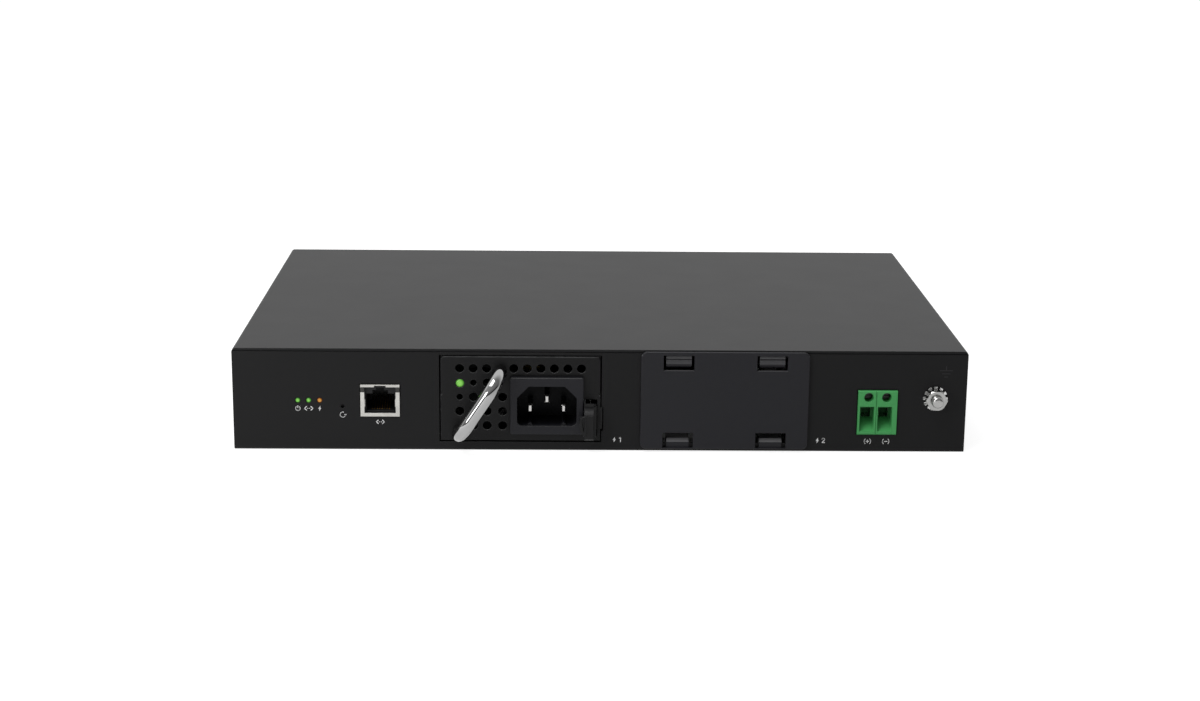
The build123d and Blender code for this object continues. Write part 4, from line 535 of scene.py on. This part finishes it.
def slot_materials():
    """Every finish: one for each of the record's slots, and a few for single parts."""
    return {**paints(), **metals(), **plastics(), **board_parts()}


# Finishes that single parts have in place of their slot's
part_finishes = {
    "terminal_screws": "screw_steel",
    "inlet_pins": "pin_tin",
    "ground_washer": "washer_steel",
}


def node_centre(name):
    """The middle of a part's box."""
    low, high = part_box(name)
    return (low + high) / 2


def lamp_material(node):
    """The lit finish of one lamp, centred on its nose."""
    low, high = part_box(node)
    centre = Vector(((low.x + high.x) / 2, low.y, (low.z + high.z) / 2))
    radius = (high.x - low.x) / 2
    if node == "supply_led":
        return lamp(node + "_lit", (0.62, 0.29, 0.032), (0.20, 0.05, 0.006), centre, radius, 0.33)
    return lamp(node + "_lit", (0.21, 0.56, 0.083), (0.025, 0.17, 0.012), centre, radius, 0.42)


def dress_parts():
    """Give every carried-over part its finish, and hand all finishes back."""
    finishes = slot_materials()
    for entry in frame["record"]["subparts"]:
        name = entry["node"]
        slot = entry["material_slot"]
        shown = nodes[name]
        shown.data.materials.clear()
        if slot in ("green_lamp", "amber_lamp"):
            finish = lamp_material(name)
        else:
            finish = finishes[part_finishes.get(name, slot)]
        shown.data.materials.append(finish)
    return finishes


# Printed marks, drawn as flat ink on the front panel
def ink(name, color):
    """Slightly uneven screen-printed ink."""
    return surface(name, color, 0.55, specular=0.3, grain=5200, grain_depth=0.01, uneven=0.08,
                   edge=0.0)


def stroke(points, width=1.0):
    """Quads along a line of points, each a little longer than its piece so that corners close."""
    half = line_width * width / 2
    quads = []
    for (x0, z0), (x1, z1) in zip(points, points[1:]):
        length = math.hypot(x1 - x0, z1 - z0)
        across = (-(z1 - z0) / length * half, (x1 - x0) / length * half)
        along = ((x1 - x0) / length * half * 0.4, (z1 - z0) / length * half * 0.4)
        quads.append([(x0 - along[0] + across[0], z0 - along[1] + across[1]),
                      (x0 - along[0] - across[0], z0 - along[1] - across[1]),
                      (x1 + along[0] - across[0], z1 + along[1] - across[1]),
                      (x1 + along[0] + across[0], z1 + along[1] + across[1])])
    return quads


def arc(x, z, radius, first, last, steps=14):
    """Points on an arc, angles in degrees from +X towards +Z."""
    points = []
    for index in range(steps + 1):
        angle = math.radians(first + (last - first) * index / steps)
        points.append((x + radius * math.cos(angle), z + radius * math.sin(angle)))
    return points


def scaled(points, x, z, size):
    """Points drawn in a unit square, put in place at a size."""
    return [(x + size * px, z + size * pz) for px, pz in points]


def power_symbol(x, z, size):
    """A broken ring with a bar."""
    ring = arc(x, z, size * 0.46, 125, 415)
    return stroke(ring) + stroke([(x, z + size * 0.05), (x, z + size * 0.58)])


def network_symbol(x, z, size):
    """Two chevrons with two dots between them."""
    quads = stroke(scaled([(-0.45, 0.42), (-0.9, 0), (-0.45, -0.42)], x, z, size), 1.25)
    quads += stroke(scaled([(0.45, 0.42), (0.9, 0), (0.45, -0.42)], x, z, size), 1.25)
    for step in (-0.2, 0.2):
        quads += stroke([(x + (step - 0.08) * size, z), (x + (step + 0.08) * size, z)])
    return quads


def bolt_symbol(x, z, size):
    """A lightning bolt."""
    upper = scaled([(0.12, 0.58), (-0.30, -0.08), (0.02, -0.08), (0.10, 0.14)], x, z, size)
    lower = scaled([(-0.12, -0.58), (0.30, 0.08), (-0.02, 0.08), (-0.10, -0.14)], x, z, size)
    return [upper, lower]


def restart_symbol(x, z, size):
    """An open ring that ends in an arrow head."""
    quads = stroke(arc(x, z, size * 0.46, 70, 360))
    tip = scaled([(0.46, -0.24), (0.22, 0.10), (0.70, 0.10)], x, z, size)
    return quads + [tip]


def numeral_one(x, z, size):
    """The figure 1."""
    return stroke(scaled([(-0.2, 0.28), (0.05, 0.5), (0.05, -0.5)], x, z, size))


def numeral_two(x, z, size):
    """The figure 2."""
    bend = scaled(arc(0, 0.22, 0.28, 165, -35, 10), x, z, size)
    foot = scaled([(-0.3, -0.48), (0.32, -0.48)], x, z, size)
    return stroke(bend + foot)


def pole_symbol(x, z, size, positive):
    """A plus or a minus between two brackets."""
    quads = stroke(arc(x + size * 0.1, z, size * 0.72, 138, 222, 8))
    quads += stroke(arc(x - size * 0.1, z, size * 0.72, -42, 42, 8))
    quads += stroke([(x - size * 0.28, z), (x + size * 0.28, z)])
    if positive:
        quads += stroke([(x, z - size * 0.28), (x, z + size * 0.28)])
    return quads


def earth_symbol(x, z, size):
    """A stem over three shrinking bars."""
    quads = stroke([(x, z + size * 0.45), (x, z + size * 0.1)])
    for step, half in ((0.1, 0.5), (-0.15, 0.32), (-0.4, 0.14)):
        level = z + step * size
        quads += stroke([(x - half * size, level), (x + half * size, level)])
    return quads


def print_mark(name, faces, material):
    """A thin film of ink that rides with the panel it is printed on."""
    mesh = bpy.data.meshes.new(name)
    shape = bmesh.new()
    for face in faces:
        corners = [shape.verts.new((x, front_y - ink_lift, z)) for x, z in face]
        made = shape.faces.new(corners)
        made.normal_update()
        if made.normal.y > 0:
            made.normal_flip()
    shape.to_mesh(mesh)
    shape.free()
    printed = bpy.data.objects.new(name, mesh)
    bpy.context.scene.collection.objects.link(printed)
    mesh.materials.append(material)
    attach(printed, "chassis")


def print_lamp_marks(ink_white):
    """A power sign, a network sign and a bolt under the three lamps."""
    z = (led_box[0].z + led_box[1].z) / 2 - lamp_mark_drop
    power, link, supply = (node_centre(name).x for name in ("power_led", "link_led", "supply_led"))
    print_mark("power_mark", power_symbol(power, z, lamp_mark_size), ink_white)
    print_mark("link_mark", network_symbol(link, z, lamp_mark_size * 0.95), ink_white)
    print_mark("supply_mark", bolt_symbol(supply, z, lamp_mark_size), ink_white)


def print_bay_marks(ink_white):
    """A bolt with the bay's number beside each bay."""
    for name, x, figure in (("bay_1_mark", bay_1_mark_x, numeral_one),
                            ("bay_2_mark", bay_2_mark_x, numeral_two)):
        faces = bolt_symbol(x - 1.5 * mm, bay_mark_z, bay_bolt_size)
        faces += figure(x + 1.0 * mm, bay_mark_z, bay_figure_size)
        print_mark(name, faces, ink_white)


def print_pole_marks(ink_white):
    """A plus and a minus under the output plug."""
    z = plug_box[0].z - pole_mark_drop
    for name, x, positive in (("positive_mark", positive_mark_x, True),
                              ("negative_mark", negative_mark_x, False)):
        print_mark(name, pole_symbol(x, z, pole_mark_size, positive), ink_white)


def print_marks():
    """Every mark on the front panel."""
    ink_white = ink("white_ink", (0.90, 0.90, 0.90))
    ink_grey = ink("grey_ink", (0.024, 0.024, 0.025))
    print_lamp_marks(ink_white)
    reset = node_centre("reset_plunger")
    restart = restart_symbol(reset.x, reset.z - restart_mark_drop, lamp_mark_size * 1.15)
    print_mark("restart_mark", restart, ink_white)
    port_x = node_centre("port_shield").x
    network = network_symbol(port_x, port_box[0].z - port_mark_drop, port_mark_size)
    print_mark("port_mark", network, ink_white)
    print_bay_marks(ink_white)
    print_pole_marks(ink_white)
    earth_x = node_centre("ground_stud").x + earth_mark_shift
    print_mark("earth_mark", earth_symbol(earth_x, earth_mark_z, earth_mark_size), ink_grey)


# The earth stud with its thread
def stud_profile():
    """Depths along the stud, each with its reach as a function of the turn."""
    low, high = stud_box
    tip = low.y
    free_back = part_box("ground_nut")[0].y - 0.15 * mm
    flange_front = high.y - 2.4 * mm
    radius = 2.5 * mm
    core_radius = 2.05 * mm
    flange_half = 4.2 * mm
    pitch = 0.8 * mm
    depth = 0.35 * mm
    dome = 1.4 * mm
    steps = 60

    def threaded(y):
        def reach(turn):
            from_tip = y - tip
            limit = radius
            if from_tip < dome:
                limit = radius - dome + math.sqrt(max(0.0, dome ** 2 - (dome - from_tip) ** 2))
            phase = (y / pitch + turn) % 1.0
            groove = depth * (1 - abs(2 * phase - 1))
            return min(limit, radius - groove) if from_tip > dome * 0.4 else limit
        return reach

    def hexagon(turn):
        return flange_half / math.cos(math.radians((turn * 360) % 60 - 30))

    rings = [(high.y, hexagon), (flange_front, hexagon), (flange_front, lambda turn: core_radius),
             (free_back, lambda turn: core_radius)]
    for step in range(steps + 1):
        y = free_back + (tip - free_back) * step / steps
        rings.append((y, threaded(y)))
    return rings


def threaded_stud(material):
    """The stud with its hexagonal flange inside, a real thread in front and a domed end."""
    low, high = stud_box
    centre_x = (low.x + high.x) / 2
    centre_z = (low.z + high.z) / 2
    around = 48
    mesh = bpy.data.meshes.new("threaded_stud")
    shape = bmesh.new()
    rings = []
    for y, reach in stud_profile():
        ring = []
        for index in range(around):
            turn = index / around
            angle = 2 * math.pi * turn
            out = reach(turn)
            ring.append(shape.verts.new((centre_x + out * math.cos(angle), y,
                                         centre_z + out * math.sin(angle))))
        rings.append(ring)
    for first, second in zip(rings, rings[1:]):
        for index in range(around):
            after = (index + 1) % around
            shape.faces.new((first[index], first[after], second[after], second[index]))
    shape.faces.new(rings[-1])
    shape.faces.new(rings[0][::-1])
    bmesh.ops.recalc_face_normals(shape, faces=shape.faces[:])
    shape.to_mesh(mesh)
    shape.free()
    mesh.shade_smooth()
    mesh.set_sharp_from_angle(angle=math.radians(35))
    stud = bpy.data.objects.new("threaded_stud", mesh)
    bpy.context.scene.collection.objects.link(stud)
    mesh.materials.append(material)
    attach(stud, "chassis")
    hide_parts("ground_stud")
    return stud


# Stage
def camera():
    """The camera at the photograph's angle."""
    yaw, pitch, roll = (math.radians(angle)
                        for angle in (camera_yaw, camera_pitch, camera_roll))
    forward = Vector((math.sin(yaw) * math.cos(pitch), math.cos(yaw) * math.cos(pitch),
                      -math.sin(pitch)))
    level = Vector((math.cos(yaw), -math.sin(yaw), 0))
    upright = level.cross(forward)
    right = math.cos(roll) * level + math.sin(roll) * upright
    up = -math.sin(roll) * level + math.cos(roll) * upright
    data = bpy.data.cameras.new("camera")
    data.sensor_width = sensor_width
    data.lens = sensor_width * focal_pixels / image_width
    data.clip_start = 0.01
    data.clip_end = 60.0
    made = bpy.data.objects.new("camera", data)
    turn = Matrix((right, up, -forward)).transposed().to_4x4()
    made.matrix_world = Matrix.Translation(camera_place) @ turn
    bpy.context.scene.collection.objects.link(made)
    bpy.context.scene.camera = made


def seen_share(tree):
    """1 for rays from the camera, from a mirror or through glass, else 0."""
    path = add(tree, "ShaderNodeLightPath")
    shiny = join(tree, "MAXIMUM", path.outputs["Is Camera Ray"], path.outputs["Is Glossy Ray"])
    return join(tree, "MAXIMUM", shiny, path.outputs["Is Transmission Ray"])


def floor_mesh():
    """One large square, just under the object."""
    mesh = bpy.data.meshes.new("floor")
    reach = floor_reach
    corners = [(-reach, -reach, 0), (reach, -reach, 0), (reach, reach, 0), (-reach, reach, 0)]
    mesh.from_pydata(corners, [], [(0, 1, 2, 3)])
    return mesh


def floor_glow_share(tree):
    """The floor's glow: plain to the camera, and darker to the right in mirrors."""
    mirrored = spread(tree, object_place(tree)["X"], mirrored_floor_left, mirrored_floor_right,
                      -0.24, 0.06)
    path = add(tree, "ShaderNodeLightPath")
    direct = join(tree, "MAXIMUM", path.outputs["Is Camera Ray"],
                  path.outputs["Is Transmission Ray"])
    shiny = join(tree, "MULTIPLY", path.outputs["Is Glossy Ray"], mirrored)
    plain = spread(tree, direct, 0.0, floor_glow, 0.0, 1.0)
    return join(tree, "MAXIMUM", plain, shiny)


def floor():
    """A plain white floor that keeps a soft shadow."""
    mesh = floor_mesh()
    plane = bpy.data.objects.new("floor", mesh)
    plane.location.z = -floor_drop
    bpy.context.scene.collection.objects.link(plane)
    material, tree, shader = new_material("floor")
    shader.inputs["Roughness"].default_value = 0.9
    shader.inputs["Specular IOR Level"].default_value = 0.0
    grain = noise(tree, place_texture(tree), 40.0)
    tree.links.new(ramp(tree, grain, (0.50, 0.50, 0.50), (0.53, 0.53, 0.53)),
                   shader.inputs["Base Color"])
    shader.inputs["Emission Color"].default_value = (1, 1, 1, 1)
    tree.links.new(floor_glow_share(tree), shader.inputs["Emission Strength"])
    mesh.materials.append(material)


def world():
    """A studio with a white backdrop behind the object and a grey room in front of it."""
    made = bpy.data.worlds.new("studio")
    made.use_nodes = True
    tree = made.node_tree
    background = tree.nodes["Background"]
    background.inputs["Color"].default_value = (1, 1, 1, 1)
    place = add(tree, "ShaderNodeTexCoord")
    direction = add(tree, "ShaderNodeSeparateXYZ")
    tree.links.new(place.outputs["Generated"], direction.inputs["Vector"])
    lit_room = spread(tree, direction.outputs["X"], room_left, room_right, -0.7, 0.7)
    dim_skirting = spread(tree, direction.outputs["Z"], skirting_share, 1.0, 0.12, 0.42)
    room = join(tree, "MULTIPLY", lit_room, dim_skirting)
    behind = spread(tree, direction.outputs["Y"], 0.0, 1.0, -0.45, 0.25)
    backdrop = join(tree, "MAXIMUM", room, behind)
    blend = add(tree, "ShaderNodeMix", data_type="FLOAT")
    tree.links.new(seen_share(tree), blend.inputs["Factor"])
    blend.inputs["A"].default_value = fill_from_world
    tree.links.new(backdrop, blend.inputs["B"])
    tree.links.new(blend.outputs["Result"], background.inputs["Strength"])
    bpy.context.scene.world = made


def softbox(name, place, target, width, height, power):
    """A rectangular soft light aimed at a point."""
    data = bpy.data.lights.new(name, "AREA")
    data.shape = "RECTANGLE"
    data.size = width
    data.size_y = height
    data.energy = power
    made = bpy.data.objects.new(name, data)
    made.location = place
    aim = Vector(target) - Vector(place)
    made.rotation_euler = aim.to_track_quat("-Z", "Y").to_euler()
    bpy.context.scene.collection.objects.link(made)


def studio():
    """The plain stage round the object."""
    floor()
    world()
    softbox("key_light", (-0.5, -0.5, 1.3), (0, 0, 0.02), 0.9, 0.6, key_power)
    softbox("fill_light", (-0.95, -1.0, 0.46), (-0.05, 0, 0.02), 0.56, 0.48, fill_power)
    bpy.context.scene.view_settings.view_transform = "Standard"


finishes = dress_parts()
print_marks()
threaded_stud(finishes["thread_steel"])
camera()
studio()
